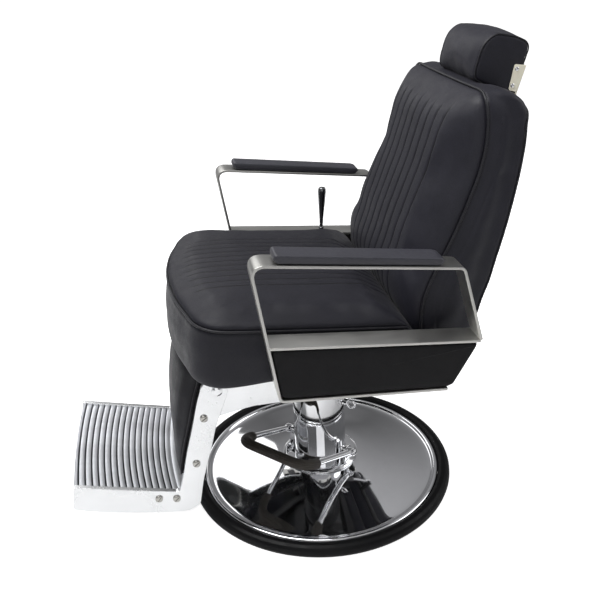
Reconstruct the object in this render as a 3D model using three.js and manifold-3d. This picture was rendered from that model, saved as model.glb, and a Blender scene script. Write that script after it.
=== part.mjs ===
// Hydraulic barber chair, as an assembly of separate pieces.
// Millimetres, +Z up, the chair faces -Y, +X is the sitter's left.
// The origin is the centre of the pedestal base, on the floor.
import * as THREE from "three";
import { mergeVertices } from "three/addons/utils/BufferGeometryUtils.js";
import Module from "manifold-3d";

// ---------------------------------------------------------------- shared dimensions
// Sizes that only one section uses stand at the head of that section.
const FIT = 0.4; // gap between a pin and its bore, or between two faces that meet
const RUNNING_FIT = 0.8; // gap round a sliding or encircled part

const DISH_R = 300; // radius of the chrome dish
const DISH_TOP = 50; // height of the dish where the pump stands
const COLUMN_R = 65; // outside radius of the fixed column sleeve
const COLUMN_BOTTOM = 58;
const COLUMN_TOP = 285;
const LIFT_R = 60; // outside radius of the moving sleeve
const RAM_R = 25; // radius of the pump ram
const RAM_TOP = 351;
const HUB_TOP = 370; // top of the swivel hub

const PEDAL_TURN = 42.9; // direction of the pedal axis in plan, degrees from +X
const PEDAL_PITCH = 22; // how far the pedal stands up at rest, degrees
const PEDAL_Z = 87; // height of the pedal axis

const SEAT_TILT = 6; // the seat's front stands this many degrees high
const SEAT_Z = 430; // height of the seat's own origin

const PLATE_IN = 160; // inner face of the frame's side plates
const PLATE_OUT = 166;
const STRUT_IN = 168; // inner face of the footrest struts
const STRUT_OUT = 180;
const UPRIGHT_IN = 146; // inner face of the back frame's uprights
const UPRIGHT_OUT = 158;

// Axes that run across the chair, as [y, z].
const RECLINE = [215, 435]; // the backrest's pivot
const FOOT_PIVOT = [-257, 384]; // the footrest's pivot
const TIE_UPPER = [-291, 319]; // the upper tie rod, which the link pulls
const LINK_LUG = [227.5, 414.5]; // the link's pin on the back frame
const LOCK_LUG = [239.9, 374.9]; // the lock rod's pin on the back frame

const RECLINE_R = 8; // radius of the recline pins
const FOOT_BOLT_R = 7; // radius of the footrest's pivot bolts
const TIE_R = 5; // radius of the tie rods
const LOCK_X = -100; // the recline lock stands right of the centre

// ---------------------------------------------------------------- vectors and ranges
const { degToRad } = THREE.MathUtils;
const vec2 = (x, y) => new THREE.Vector2(x, y);
const vec3 = (x, y, z) => new THREE.Vector3(x, y, z);

const SIDES = [
  ["left", 1],
  ["right", -1],
];
// The range [inner, outer], mirrored when side is -1.
const span = (side, inner, outer) => (side > 0 ? [inner, outer] : [-outer, -inner]);
// A range that reaches half to each side of its centre.
const across = (half, centre = 0) => [centre - half, centre + half];

// ---------------------------------------------------------------- solids
const wasm = await Module();
wasm.setup();

// Position and index only, with shared vertices merged and no collapsed faces.
function bare(geometry) {
  const loose = geometry.index ? geometry.toNonIndexed() : geometry.clone();
  for (const name of Object.keys(loose.attributes))
    if (name !== "position") loose.deleteAttribute(name);
  loose.clearGroups();
  const merged = mergeVertices(loose, 1e-3);
  const index = merged.index.array;
  const kept = [];
  for (let i = 0; i < index.length; i += 3) {
    const [one, two, three] = index.slice(i, i + 3);
    if (one !== two && two !== three && one !== three) kept.push(one, two, three);
  }
  merged.setIndex(kept);
  return merged;
}

function signedVolume(geometry) {
  const { position } = geometry.attributes;
  const index = geometry.index.array;
  const corners = [vec3(), vec3(), vec3()];
  let sum = 0;
  for (let i = 0; i < index.length; i += 3) {
    corners.forEach((corner, k) => corner.fromBufferAttribute(position, index[i + k]));
    sum += corners[0].dot(corners[1].cross(corners[2]));
  }
  return sum / 6;
}

// The same geometry with its faces pointing out.
function closed(geometry) {
  const skin = bare(geometry);
  if (signedVolume(skin) < 0) {
    const index = Array.from(skin.index.array);
    for (let i = 0; i < index.length; i += 3)
      [index[i + 1], index[i + 2]] = [index[i + 2], index[i + 1]];
    skin.setIndex(index);
  }
  return skin;
}

function solid(geometry) {
  const skin = closed(geometry);
  return new wasm.Manifold(
    new wasm.Mesh({
      numProp: 3,
      vertProperties: new Float32Array(skin.attributes.position.array),
      triVerts: new Uint32Array(skin.index.array),
    }),
  );
}

function geometryOf(manifold) {
  const { numProp, numVert, vertProperties, triVerts } = manifold.getMesh();
  const position = new Float32Array(numVert * 3);
  for (let i = 0; i < numVert; i++)
    position.set(vertProperties.subarray(i * numProp, i * numProp + 3), i * 3);
  const geometry = new THREE.BufferGeometry();
  geometry.setAttribute("position", new THREE.BufferAttribute(position, 3));
  geometry.setIndex(new THREE.BufferAttribute(triVerts, 1));
  return geometry;
}

const join = (...parts) => geometryOf(parts.map(solid).reduce((all, part) => all.add(part)));
const cut = (body, ...tools) =>
  geometryOf(tools.map(solid).reduce((left, tool) => left.subtract(tool), solid(body)));

// ---------------------------------------------------------------- outlines
const circlePoints = (y, z, radius, segments = 20) =>
  Array.from({ length: segments }, (_, i) => {
    const angle = (2 * Math.PI * i) / segments;
    return [y + radius * Math.cos(angle), z + radius * Math.sin(angle)];
  });

// A polygon with its corners rounded; corners are [y, z, radius].
function rounded(corners, steps = 4) {
  const count = corners.length;
  return corners.flatMap(([y, z, radius = 0], i) => {
    if (!radius) return [[y, z]];
    const corner = vec2(y, z);
    const back = vec2(...corners[(i + count - 1) % count].slice(0, 2)).sub(corner);
    const ahead = vec2(...corners[(i + 1) % count].slice(0, 2)).sub(corner);
    const half = Math.acos(back.clone().normalize().dot(ahead.clone().normalize())) / 2;
    const reach = Math.min(
      radius / Math.tan(half),
      0.49 * back.length(),
      0.49 * ahead.length(),
    );
    const curve = new THREE.QuadraticBezierCurve(
      corner.clone().add(back.setLength(reach)),
      corner,
      corner.clone().add(ahead.setLength(reach)),
    );
    return curve.getPoints(steps).map((point) => [point.x, point.y]);
  });
}

// The same corners moved inwards by a distance.
function inset(corners, distance) {
  const count = corners.length;
  const movedEdge = (i) => {
    const start = vec2(...corners[i].slice(0, 2));
    const end = vec2(...corners[(i + 1) % count].slice(0, 2));
    const along = end.sub(start).normalize();
    return { start: start.add(vec2(along.y, -along.x).multiplyScalar(distance)), along };
  };
  return corners.map(([, , radius = 0], i) => {
    const before = movedEdge((i + count - 1) % count);
    const after = movedEdge(i);
    const offset = after.start.clone().sub(before.start);
    const run = offset.cross(after.along) / before.along.cross(after.along);
    const meet = before.start.clone().addScaledVector(before.along, run);
    return [meet.x, meet.y, Math.max(radius - distance, 1.5)];
  });
}

// A strip that follows the curve y = yAt(z), up at one offset and down at the other.
const band = (levels, yAt, upOffset, downOffset) => [
  ...levels.map((z) => [yAt(z) + upOffset, z]),
  ...levels.toReversed().map((z) => [yAt(z) + downOffset, z]),
];

// A straight strip between two [y, z] points, running on past the second by extra.
function strip(start, end, halfWidth, extra = 0) {
  const from = vec2(...start);
  const to = vec2(...end);
  const along = to.clone().sub(from).normalize();
  const sideways = vec2(-along.y, along.x).multiplyScalar(halfWidth);
  to.addScaledVector(along, extra);
  return [
    from.clone().add(sideways),
    from.clone().sub(sideways),
    to.clone().sub(sideways),
    to.clone().add(sideways),
  ].map((point) => point.toArray());
}

// Linear interpolation in a table of rows [key, value, ...].
function lookup(table, key, column) {
  const found = table.findIndex((row, i) => i > 0 && key <= row[0]);
  const i = found < 0 ? table.length - 1 : found;
  const [below, above] = [table[i - 1], table[i]];
  const share = (key - below[0]) / (above[0] - below[0]);
  return below[column] + (above[column] - below[column]) * share;
}

// ---------------------------------------------------------------- shapes
const YZ_TO_WORLD = new THREE.Matrix4().makeBasis(
  vec3(0, 1, 0),
  vec3(0, 0, 1),
  vec3(1, 0, 0),
);

// A plate whose outline lies in the XY plane, over a range of z.
function plateXY(points, [from, to], { holes = [], bevel = 0 } = {}) {
  const toVectors = (outline) => outline.map((point) => vec2(...point));
  const shape = new THREE.Shape(toVectors(points));
  holes.forEach((hole) => shape.holes.push(new THREE.Path(toVectors(hole))));
  return new THREE.ExtrudeGeometry(shape, {
    depth: to - from - 2 * bevel,
    bevelEnabled: bevel > 0,
    bevelSize: bevel,
    bevelThickness: bevel,
    bevelOffset: -bevel,
    bevelSegments: 2,
    curveSegments: 6,
  }).translate(0, 0, from + bevel);
}

// A plate whose outline lies in the YZ plane, over a range of x.
const plateYZ = (points, range, options) =>
  plateXY(points, range, options).applyMatrix4(YZ_TO_WORLD);

// A block over three [from, to] ranges.
function box(...ranges) {
  const sizes = ranges.map(([from, to]) => to - from);
  const centre = ranges.map(([from, to]) => (from + to) / 2);
  return new THREE.BoxGeometry(...sizes).translate(...centre);
}

// A round bar between two points.
function bar(start, end, radius, segments = 16) {
  const run = end.clone().sub(start);
  const turn = new THREE.Quaternion().setFromUnitVectors(
    vec3(0, 1, 0),
    run.clone().normalize(),
  );
  const middle = start.clone().add(end).multiplyScalar(0.5);
  return new THREE.CylinderGeometry(radius, radius, run.length(), segments)
    .applyQuaternion(turn)
    .translate(...middle.toArray());
}
const barX = (from, to, y, z, radius, segments) =>
  bar(vec3(from, y, z), vec3(to, y, z), radius, segments);

// A pin across the chair whose head stands on the outer face it passes through.
const headedPin = ({ side, inner, face, at, radius, headRadius }) =>
  join(
    barX(side * inner, side * (face + 1), ...at, radius),
    barX(side * (face + FIT), side * (face + 6), ...at, headRadius),
  );

// A turned piece: [radius, height] pairs round the +Z axis.
const turned = (profile, segments) =>
  new THREE.LatheGeometry(
    profile.map((point) => vec2(...point)),
    segments,
  ).rotateX(Math.PI / 2);
const turnedRing = (profile, segments) => turned([...profile, profile[0]], segments);

// A path whose corners are rounded, each curve starting at reach from its corner.
function rodPath(points, reach) {
  const path = new THREE.CurvePath();
  let from = points[0];
  for (let i = 1; i < points.length - 1; i++) {
    const corner = points[i];
    const towards = (other) => corner.clone().add(other.clone().sub(corner).setLength(reach));
    const curveStart = towards(points[i - 1]);
    const curveEnd = towards(points[i + 1]);
    path.add(new THREE.LineCurve3(from, curveStart));
    path.add(new THREE.QuadraticBezierCurve3(curveStart, corner, curveEnd));
    from = curveEnd;
  }
  path.add(new THREE.LineCurve3(from, points[points.length - 1]));
  return path;
}
// A round rod along a path.
function rod(path, radius, { steps, sides }) {
  const ring = new THREE.Shape(circlePoints(0, 0, radius, sides).map((p) => vec2(...p)));
  return new THREE.ExtrudeGeometry(ring, { steps, bevelEnabled: false, extrudePath: path });
}

// A closed skin through rings of equal numbers of points, capped at both ends.
function loft(rings) {
  const count = rings[0].length;
  const position = rings.flat().flatMap((point) => point.toArray());
  const index = [];
  for (let i = 0; i < rings.length - 1; i++)
    for (let k = 0; k < count; k++) {
      const next = (k + 1) % count;
      const [low, lowNext] = [i * count + k, i * count + next];
      const [high, highNext] = [low + count, lowNext + count];
      index.push(low, lowNext, highNext, low, highNext, high);
    }
  [0, rings.length - 1].forEach((i) => {
    const middle = rings[i].reduce((sum, point) => sum.add(point), vec3());
    const hub = position.length / 3;
    position.push(...middle.divideScalar(count).toArray());
    for (let k = 0; k < count; k++) {
      const next = (k + 1) % count;
      if (i) index.push(hub, i * count + k, i * count + next);
      else index.push(hub, next, k);
    }
  });
  const geometry = new THREE.BufferGeometry();
  geometry.setAttribute("position", new THREE.Float32BufferAttribute(position, 3));
  geometry.setIndex(index);
  return geometry;
}

// ---------------------------------------------------------------- materials
const MATERIALS = {
  chrome: { color: 0xdfe2e6, roughness: 0.06, metalness: 1 },
  brushed: { color: 0xb9b5ad, roughness: 0.35, metalness: 1 },
  aluminium: { color: 0xdfe5e8, roughness: 0.22, metalness: 1 },
  steel: { color: 0x4b4e52, roughness: 0.5, metalness: 0.8 },
  rubber: { color: 0x2b2c30, roughness: 0.7, metalness: 0 },
  grip: { color: 0x3a352f, roughness: 0.75, metalness: 0 },
  leather: { color: 0x26262b, roughness: 0.48, metalness: 0 },
  pad: { color: 0x1d1d20, roughness: 0.5, metalness: 0 },
  cream: { color: 0xe9e2cf, roughness: 0.4, metalness: 0.1 },
  plywood: { color: 0xb08a5b, roughness: 0.8, metalness: 0 },
  nylon: { color: 0x1b1b1c, roughness: 0.5, metalness: 0 },
};

// ---------------------------------------------------------------- groups
const chair = new THREE.Group();
function addGroup(parent, z = 0) {
  const group = new THREE.Group();
  group.position.z = z;
  parent.add(group);
  return group;
}
const seatGroup = addGroup(chair, SEAT_Z); // the seat's own frame, tilted back
seatGroup.rotation.x = -degToRad(SEAT_TILT);
const pedalGroup = addGroup(chair, PEDAL_Z); // x along the pedal's axis, -y to the grip
pedalGroup.rotation.z = degToRad(PEDAL_TURN);
const pedalRaised = addGroup(pedalGroup);
pedalRaised.rotation.x = -degToRad(PEDAL_PITCH);

function piece(name, geometry, material, parent = chair) {
  const skin = closed(geometry);
  skin.computeVertexNormals();
  const mesh = new THREE.Mesh(skin, new THREE.MeshStandardMaterial(MATERIALS[material]));
  mesh.name = name;
  parent.add(mesh);
}

// ---------------------------------------------------------------- base
const BASE_R = 330; // outside radius of the rubber floor ring
const BASE_H = 31; // height of the floor ring
const RING_BORE = DISH_R + RUNNING_FIT;
const DISH_SHEET = 4; // thickness of the dish
const PUMP_R = 42; // outside radius of the pump cylinder
const FLANGE_BORE = PUMP_R + 0.5;
const FLANGE_BOTTOM = DISH_TOP + FIT;
const FLANGE_TOP = 57.5;
const PUMP_BOTTOM = DISH_TOP + 0.5;
const PUMP_TOP = 262;
const PUMP_FLOOR = 60; // bottom of the pump's bore
const COLUMN_BORE = 61.4;

// Sections of turned pieces are [radius, z].
const FLOOR_RING = [
  [304, 0], [326, 0], [BASE_R, 6], [BASE_R, 20], [327, 27],
  [319, BASE_H], [308, 30], [302, 25], [RING_BORE, 18], [RING_BORE, 4],
];
piece("floor_ring", turnedRing(FLOOR_RING, 44), "rubber");

const DISH = [
  [36, DISH_TOP], [100, DISH_TOP], [180, 37], [276, 19], [283, 19], [288, 22],
  [DISH_R, 22], [DISH_R, 6], [297, 6], [297, 18.5],
  [276, 19 - DISH_SHEET], [180, 37 - DISH_SHEET],
  [100, DISH_TOP - DISH_SHEET], [36, DISH_TOP - DISH_SHEET],
];
piece("base_dish", turnedRing(DISH, 44), "chrome");

const PUMP_FLANGE = [
  [FLANGE_BORE, FLANGE_BOTTOM], [94, FLANGE_BOTTOM], [94, 54],
  [88, FLANGE_TOP], [FLANGE_BORE, FLANGE_TOP],
];
piece("pump_flange", turnedRing(PUMP_FLANGE, 32), "chrome");

// The pump's cast foot comes down through the dish to the floor.
const PUMP_CYLINDER = [
  [0, PUMP_BOTTOM], [PUMP_R, PUMP_BOTTOM], [PUMP_R, PUMP_TOP],
  [RAM_R + RUNNING_FIT, PUMP_TOP], [RAM_R + RUNNING_FIT, PUMP_FLOOR], [0, PUMP_FLOOR],
];
piece(
  "pump_cylinder",
  join(
    turned(PUMP_CYLINDER, 28),
    plateXY(circlePoints(0, 0, 34, 27), [0, DISH_TOP + 1]),
  ),
  "steel",
);

const COLUMN_SLEEVE = [
  [COLUMN_BORE, COLUMN_BOTTOM], [COLUMN_R, COLUMN_BOTTOM],
  [COLUMN_R, COLUMN_TOP], [COLUMN_BORE, COLUMN_TOP],
];
piece("column_sleeve", turnedRing(COLUMN_SLEEVE, 36), "chrome");

const SLEEVE_COLLAR = [
  [LIFT_R + RUNNING_FIT, COLUMN_TOP + FIT], [COLUMN_R + 1, COLUMN_TOP + FIT],
  [COLUMN_R + 1, COLUMN_TOP + 5], [COLUMN_R - 1, COLUMN_TOP + 8],
  [LIFT_R + RUNNING_FIT, COLUMN_TOP + 8],
];
piece("sleeve_collar", turnedRing(SLEEVE_COLLAR, 28), "nylon");

// ---------------------------------------------------------------- pedal
const PEDAL_HALF = 95.5; // half spacing of the pedal's legs
const PEDAL_REACH = 213; // length of the legs
const PEDAL_BEND = 42; // how far from its corners the bar starts to bend
const PEDAL_BAR_R = 7;
const GRIP_R = 12; // radius of the rubber grip
const PEDAL_PIN_R = 5;
const LUG_FOOT = COLUMN_BOTTOM - PEDAL_Z; // in the pedal's frame

for (const [name, side] of [
  ["near", 1],
  ["far", -1],
]) {
  // The lugs stand on the pump flange, either side of the column.
  const lugOutline = rounded([
    [-15, LUG_FOOT],
    [15, LUG_FOOT],
    [13, 15, 12],
    [-13, 15, 12],
  ]);
  const bore = circlePoints(0, 0, PEDAL_PIN_R + FIT, 12);
  piece(
    `pedal_lug_${name}`,
    plateYZ(lugOutline, span(side, 73, 86), { holes: [bore] }),
    "chrome",
    pedalGroup,
  );
  // A headed pin holds each leg of the pedal to its lug.
  piece(
    `pedal_pin_${name}`,
    join(
      barX(side * 74, side * 103.5, 0, 0, PEDAL_PIN_R, 12),
      barX(side * 103, side * 107, 0, 0, 9, 12),
    ),
    "chrome",
    pedalRaised,
  );
}
piece("pump_plunger", bar(vec3(0, -49.7, -19), vec3(0, -49.7, 23), 4.5, 12), "steel", pedalGroup);

// A U round the grip's end of the pedal; the legs spread slightly towards the grip.
const pedalLoop = (legSpread, legEnd) =>
  rodPath(
    [
      vec3(PEDAL_HALF + legSpread, legEnd, 0),
      vec3(PEDAL_HALF + 1, -PEDAL_REACH, 0),
      vec3(-PEDAL_HALF - 1, -PEDAL_REACH, 0),
      vec3(-PEDAL_HALF - legSpread, legEnd, 0),
    ],
    PEDAL_BEND,
  );
const pedalRod = (radius) => rod(pedalLoop(0, -6), radius, { steps: 24, sides: 8 });
const pedalEye = (side) =>
  cut(
    barX(side * (PEDAL_HALF - 6.5), side * (PEDAL_HALF + 5.5), 0, 0, 11.5),
    barX(side * (PEDAL_HALF - 9), side * (PEDAL_HALF + 9), 0, 0, PEDAL_PIN_R + FIT, 12),
  );
piece(
  "pedal_bar",
  join(pedalRod(PEDAL_BAR_R), pedalEye(1), pedalEye(-1)),
  "chrome",
  pedalRaised,
);
piece(
  "pedal_grip",
  cut(
    rod(pedalLoop(0.8, -160), GRIP_R, { steps: 18, sides: 10 }),
    pedalRod(PEDAL_BAR_R + FIT),
  ),
  "grip",
  pedalRaised,
);

// ---------------------------------------------------------------- swivel lock
// A loop to grasp on a short stem at the side of the column.
const LOOP_R = 10;
const LOOP_WIRE_R = 2.8;
const lockGroup = addGroup(chair, 215); // +y away from the column
lockGroup.rotation.z = degToRad(-37);
piece(
  "swivel_lock_loop",
  join(
    bar(vec3(0, COLUMN_R + 1, 0), vec3(0, 77, 0), 5, 10),
    new THREE.TorusGeometry(LOOP_R, LOOP_WIRE_R, 6, 14)
      .rotateY(Math.PI / 2)
      .translate(0, 86, 0),
  ),
  "chrome",
  lockGroup,
);

// ---------------------------------------------------------------- lift
const LIFT_BORE = 57.5;
const LIFT_BOTTOM = 100;
const LIFT_TOP = 318;
const LIFT_CAP = 4; // thickness of the sleeve's closed top
const HUB_Z = 322; // underside of the swivel hub
const HUB_BORE = RAM_R + 0.5;

const PUMP_RAM = [
  [0, 66], [RAM_R, 66], [RAM_R, RAM_TOP - 2], [RAM_R - 2, RAM_TOP], [0, RAM_TOP],
];
piece("pump_ram", turned(PUMP_RAM, 24), "chrome");

const LIFT_SLEEVE = [
  [LIFT_BORE, LIFT_BOTTOM], [LIFT_R, LIFT_BOTTOM], [LIFT_R, LIFT_TOP],
  [RAM_R + RUNNING_FIT, LIFT_TOP], [RAM_R + RUNNING_FIT, LIFT_TOP - LIFT_CAP],
  [LIFT_BORE, LIFT_TOP - LIFT_CAP],
];
piece("lift_sleeve", turnedRing(LIFT_SLEEVE, 28), "chrome");

const SWIVEL_HUB = [
  [0, RAM_TOP + 2], [HUB_BORE, RAM_TOP + 2], [HUB_BORE, HUB_Z], [40, HUB_Z],
  [45, 330], [45, 358], [72, 360], [72, HUB_TOP], [0, HUB_TOP],
];
piece("swivel_hub", turned(SWIVEL_HUB, 28), "steel");

// ---------------------------------------------------------------- seat frame
const RAIL_IN = 60; // inner face of the rails
const RAIL_OUT = 85;
const RAIL_FRONT = -250;
const RAIL_REAR = 150;
const RAIL_Z = [-30, -5]; // bottom and top of the rails, in the seat's frame
const SADDLE_HALF = 62;
const SADDLE_TOP = RAIL_Z[0] - 0.5;
const SADDLE_PLATE = 8; // thickness of the saddle's top plate
const CROSS_HALF = 318; // half length of the flat cross bars
const REAR_CROSS_Y = [89, 113];

// World height, at world y, of a plane at height zSeat in the seat's tilted frame.
const tiltZ = (y, zSeat) =>
  SEAT_Z + (zSeat - y * Math.sin(degToRad(SEAT_TILT))) / Math.cos(degToRad(SEAT_TILT));

// A wedge from the level hub up to the tilted rails, under a wider plate.
function saddle() {
  const [front, rear] = across(SADDLE_HALF);
  const plateBottom = SADDLE_TOP - SADDLE_PLATE;
  const upperEdge = [
    [rear, tiltZ(rear, SADDLE_TOP)],
    [front, tiltZ(front, SADDLE_TOP)],
  ];
  const wedge = [[front, HUB_TOP + 0.5], [rear, HUB_TOP + 0.5], ...upperEdge];
  const plate = [
    [front, tiltZ(front, plateBottom)],
    [rear, tiltZ(rear, plateBottom)],
    ...upperEdge,
  ];
  return join(plateYZ(wedge, across(SADDLE_HALF)), plateYZ(plate, across(RAIL_OUT)));
}
piece("seat_saddle", saddle(), "steel");

// Two rails, two flat cross bars that carry the arm frames, the lock's anchor tab
// and a front cross member.
const rail = (side) => box(span(side, RAIL_IN, RAIL_OUT), [RAIL_FRONT, RAIL_REAR], RAIL_Z);
const crossBarEnd = (side) => box(span(side, 296, CROSS_HALF), REAR_CROSS_Y, [-10, 0.4]);
piece(
  "seat_frame",
  join(
    rail(1),
    rail(-1),
    box(across(CROSS_HALF), [-110, -70], [-14, -6]),
    box(across(CROSS_HALF), REAR_CROSS_Y, [-12, -5.5]),
    crossBarEnd(1),
    crossBarEnd(-1),
    box(across(8, LOCK_X), [-104, -84], [-70, -8]),
    box(across(150), [RAIL_FRONT, RAIL_FRONT + 25], RAIL_Z),
  ),
  "steel",
  seatGroup,
);

// Outline of the side plates: [y, z, corner radius].
const SIDE_PLATE = [
  [-268, tiltZ(-268, -15)], [182, tiltZ(182, -15), 8], [192, 436, 10],
  [203, 457, 14], [228, 457, 14], [240, 433, 14], [228, 402, 20],
  [196, 372, 20], [130, 340, 60], [50, 325, 40], [-150, 324], [-179, 324],
  [-212, 319], [-262, 309, 8], [-276, 372], [-276, 430, 8],
];
for (const [name, side] of SIDES) {
  piece(
    `frame_side_plate_${name}`,
    plateYZ(rounded(SIDE_PLATE, 3), span(side, PLATE_IN, PLATE_OUT), {
      holes: [
        circlePoints(...FOOT_PIVOT, FOOT_BOLT_R + FIT, 16),
        circlePoints(...RECLINE, RECLINE_R + FIT, 16),
      ],
    }),
    "aluminium",
  );
  const reclinePin = headedPin({
    side,
    inner: UPRIGHT_IN + 1,
    face: PLATE_OUT,
    at: RECLINE,
    radius: RECLINE_R,
    headRadius: 13,
  });
  piece(`recline_pin_${name}`, reclinePin, "chrome");
  const footrestBolt = headedPin({
    side,
    inner: PLATE_IN + 0.5,
    face: STRUT_OUT,
    at: FOOT_PIVOT,
    radius: FOOT_BOLT_R,
    headRadius: 11,
  });
  piece(`footrest_bolt_${name}`, footrestBolt, "chrome");
}

// ---------------------------------------------------------------- seat cushion
const SEAT_HALF = 276; // half width of the cushion
const SEAT_FRONT = -341; // front of the cushion on its centre line
const SEAT_CORNER = -307; // front of the cushion where its corners begin
const SEAT_CORNER_X = 213; // where the bow reaches SEAT_CORNER
const SEAT_REAR = 130;
const SEAT_H = 130; // crown height of the cushion
const REAR_CHAMFER = 20; // cut off the rear corners in plan
const BOARD_HALF = 236;
const BOARD_FRONT = -284;
const BOARD_REAR = 96;

piece(
  "seat_board",
  box(across(BOARD_HALF), [BOARD_FRONT, BOARD_REAR], [-2.4, 9.4]),
  "plywood",
  seatGroup,
);

// The front is bowed, with large corners.
function seatPlan() {
  const mirrored = (points) => points.map(([x, y]) => [-x, y]).reverse();
  const bowY = (x) => SEAT_FRONT + (SEAT_CORNER - SEAT_FRONT) * (x / SEAT_CORNER_X) ** 2;
  const rightCorner = [0, 1, 2, 3, 4].map((i) => {
    const angle = (i / 4) * (Math.PI / 2);
    return [
      -SEAT_HALF + 80 * (1 - Math.cos(angle)),
      SEAT_CORNER + 56 - 62 * Math.sin(angle),
    ];
  });
  const leftRear = [
    [SEAT_HALF, SEAT_REAR - REAR_CHAMFER],
    [SEAT_HALF - REAR_CHAMFER, SEAT_REAR],
  ];
  return [
    ...rightCorner,
    ...[-130, -65, 0, 65, 130].map((x) => [x, bowY(x)]),
    ...mirrored(rightCorner),
    ...leftRear,
    ...mirrored(leftRear),
  ];
}

// [y, z] of what is cut away so that the rear upper edge rolls down under the backrest.
const REAR_ROLL = [
  [SEAT_REAR - 58, SEAT_H + 0.5], [SEAT_REAR - 24, 117], [SEAT_REAR - 8, 96],
  [SEAT_REAR + 0.5, 68], [SEAT_REAR + 30, 68], [SEAT_REAR + 30, 160],
  [SEAT_REAR - 58, 160],
];
piece(
  "seat_cushion",
  cut(
    plateXY(seatPlan(), [-3, SEAT_H], { bevel: 13 }),
    box(across(BOARD_HALF + 1), [BOARD_FRONT - 1, BOARD_REAR + 1], [-20, 10]),
    plateYZ(REAR_ROLL, across(300)),
  ),
  "leather",
  seatGroup,
);

// ---------------------------------------------------------------- arms
const ARM_OUT = 344; // outer face of the arm frames
const ARM_IN = 287; // inner face of the arm frames
const ARM_BAR = 5.5; // thickness of the flat bar

// The flat bar's outer corners, from the top front round by the rear: [y, z, radius].
// It runs over the top, down the front and along under the panel.
const ARM_CORNERS = [
  [-188, 735, 25], [223, 683, 18], [268, 522, 8],
  [213, 423, 4], [200, 414, 6], [-145.8, 438.2, 14],
];
// Outlines as [y, z]. The gap opens the loop at the rear, below the cross bar.
const ARM_GAP = [[240, 519], [290, 514.5], [240, 400], [198.5, 400], [198.5, 430]];
const ARM_CROSS_BAR = [[-160.5, 563], [264.5, 521.2], [264.5, 515.6], [-160.5, 557.4]];
const SIDE_PANEL = [
  [-156.3, 556.4], [263, 515.1], [212.6, 424.6],
  [200, 420.2], [-130, 443.5], [-141.4, 450],
];
const ARM_PAD = [
  [-134, 729.4], [-141.5, 736], [-141, 743.5], [-135, 747],
  [172, 706], [181, 702.5], [184, 697.5], [174, 690.4],
];

function armFrame(side) {
  const range = span(side, ARM_IN, ARM_OUT);
  const through = span(side, ARM_IN - 5, ARM_OUT + 5);
  const loop = cut(
    plateYZ(rounded(ARM_CORNERS), range),
    plateYZ(rounded(inset(ARM_CORNERS, ARM_BAR)), through),
    plateYZ(ARM_GAP, through),
  );
  return join(loop, plateYZ(ARM_CROSS_BAR, range));
}
for (const [name, side] of SIDES) {
  const cushioned = (outline, inFromFace) =>
    plateYZ(outline, span(side, ARM_IN + inFromFace, ARM_OUT - inFromFace), { bevel: 3 });
  piece(`arm_frame_${name}`, armFrame(side), "brushed");
  piece(`side_panel_${name}`, cushioned(SIDE_PANEL, 1), "leather");
  piece(`arm_pad_${name}`, cushioned(ARM_PAD, 3.5), "pad");
}

// ---------------------------------------------------------------- recline lock
const LOCK_Z = 372; // height of the lock cylinder's axis
const lockBar = (from, to, radius, segments) =>
  bar(vec3(LOCK_X, from, LOCK_Z), vec3(LOCK_X, to, LOCK_Z), radius, segments);
const lockEye = (radius, halfWidth) =>
  plateYZ(circlePoints(LOCK_LUG[0], LOCK_Z, radius), across(halfWidth, LOCK_X));

piece("lock_cylinder", cut(lockBar(-78, 172, 11.5, 16), lockBar(42, 190, 6.6, 14)), "steel");
piece(
  "lock_rod",
  cut(join(lockBar(98, 230, 6, 14), lockEye(13.5, 4)), lockEye(8.5, 10)),
  "chrome",
);

// ---------------------------------------------------------------- recline lever
const LEVER_X = -282.5; // the lever stands between cushion and arm frame
const LEVER_PIVOT = [70, 385]; // y, z
const LEVER_TOP = [83, 666]; // y, z
const ROD_TOP = 552; // height where the lever's rod ends
const HANDLE_FOOT = 552.6; // height of the handle's own origin

const leverY = (z) => lookup([LEVER_PIVOT, LEVER_TOP].map(([y, top]) => [top, y]), z, 1);

piece(
  "recline_lever_rod",
  join(
    rod(
      rodPath(
        [
          vec3(-PLATE_OUT - 1, ...LEVER_PIVOT),
          vec3(LEVER_X, ...LEVER_PIVOT),
          vec3(LEVER_X, leverY(ROD_TOP), ROD_TOP),
        ],
        22,
      ),
      3.5,
      { steps: 16, sides: 8 },
    ),
    barX(-PLATE_OUT - 0.6, -PLATE_OUT - 9, ...LEVER_PIVOT, 9),
  ),
  "chrome",
);

// Section of the handle: [radius, world height on the leaning axis].
const LEVER_HANDLE = [
  [0, 553], [7, 553], [7, 557], [4.5, 558], [6, 590],
  [9, 630], [10.5, 652], [9, 662], [5, 666], [0, 666.5],
];
function leverHandle() {
  const axis = vec3(0, ...LEVER_TOP).sub(vec3(0, ...LEVER_PIVOT)).normalize();
  const turn = new THREE.Quaternion().setFromUnitVectors(vec3(0, 0, 1), axis);
  const profile = LEVER_HANDLE.map(([radius, z]) => [radius, (z - HANDLE_FOOT) / axis.z]);
  return turned(profile, 20)
    .applyQuaternion(turn)
    .translate(LEVER_X, leverY(HANDLE_FOOT), HANDLE_FOOT);
}
piece("recline_lever_handle", leverHandle(), "chrome");

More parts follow.
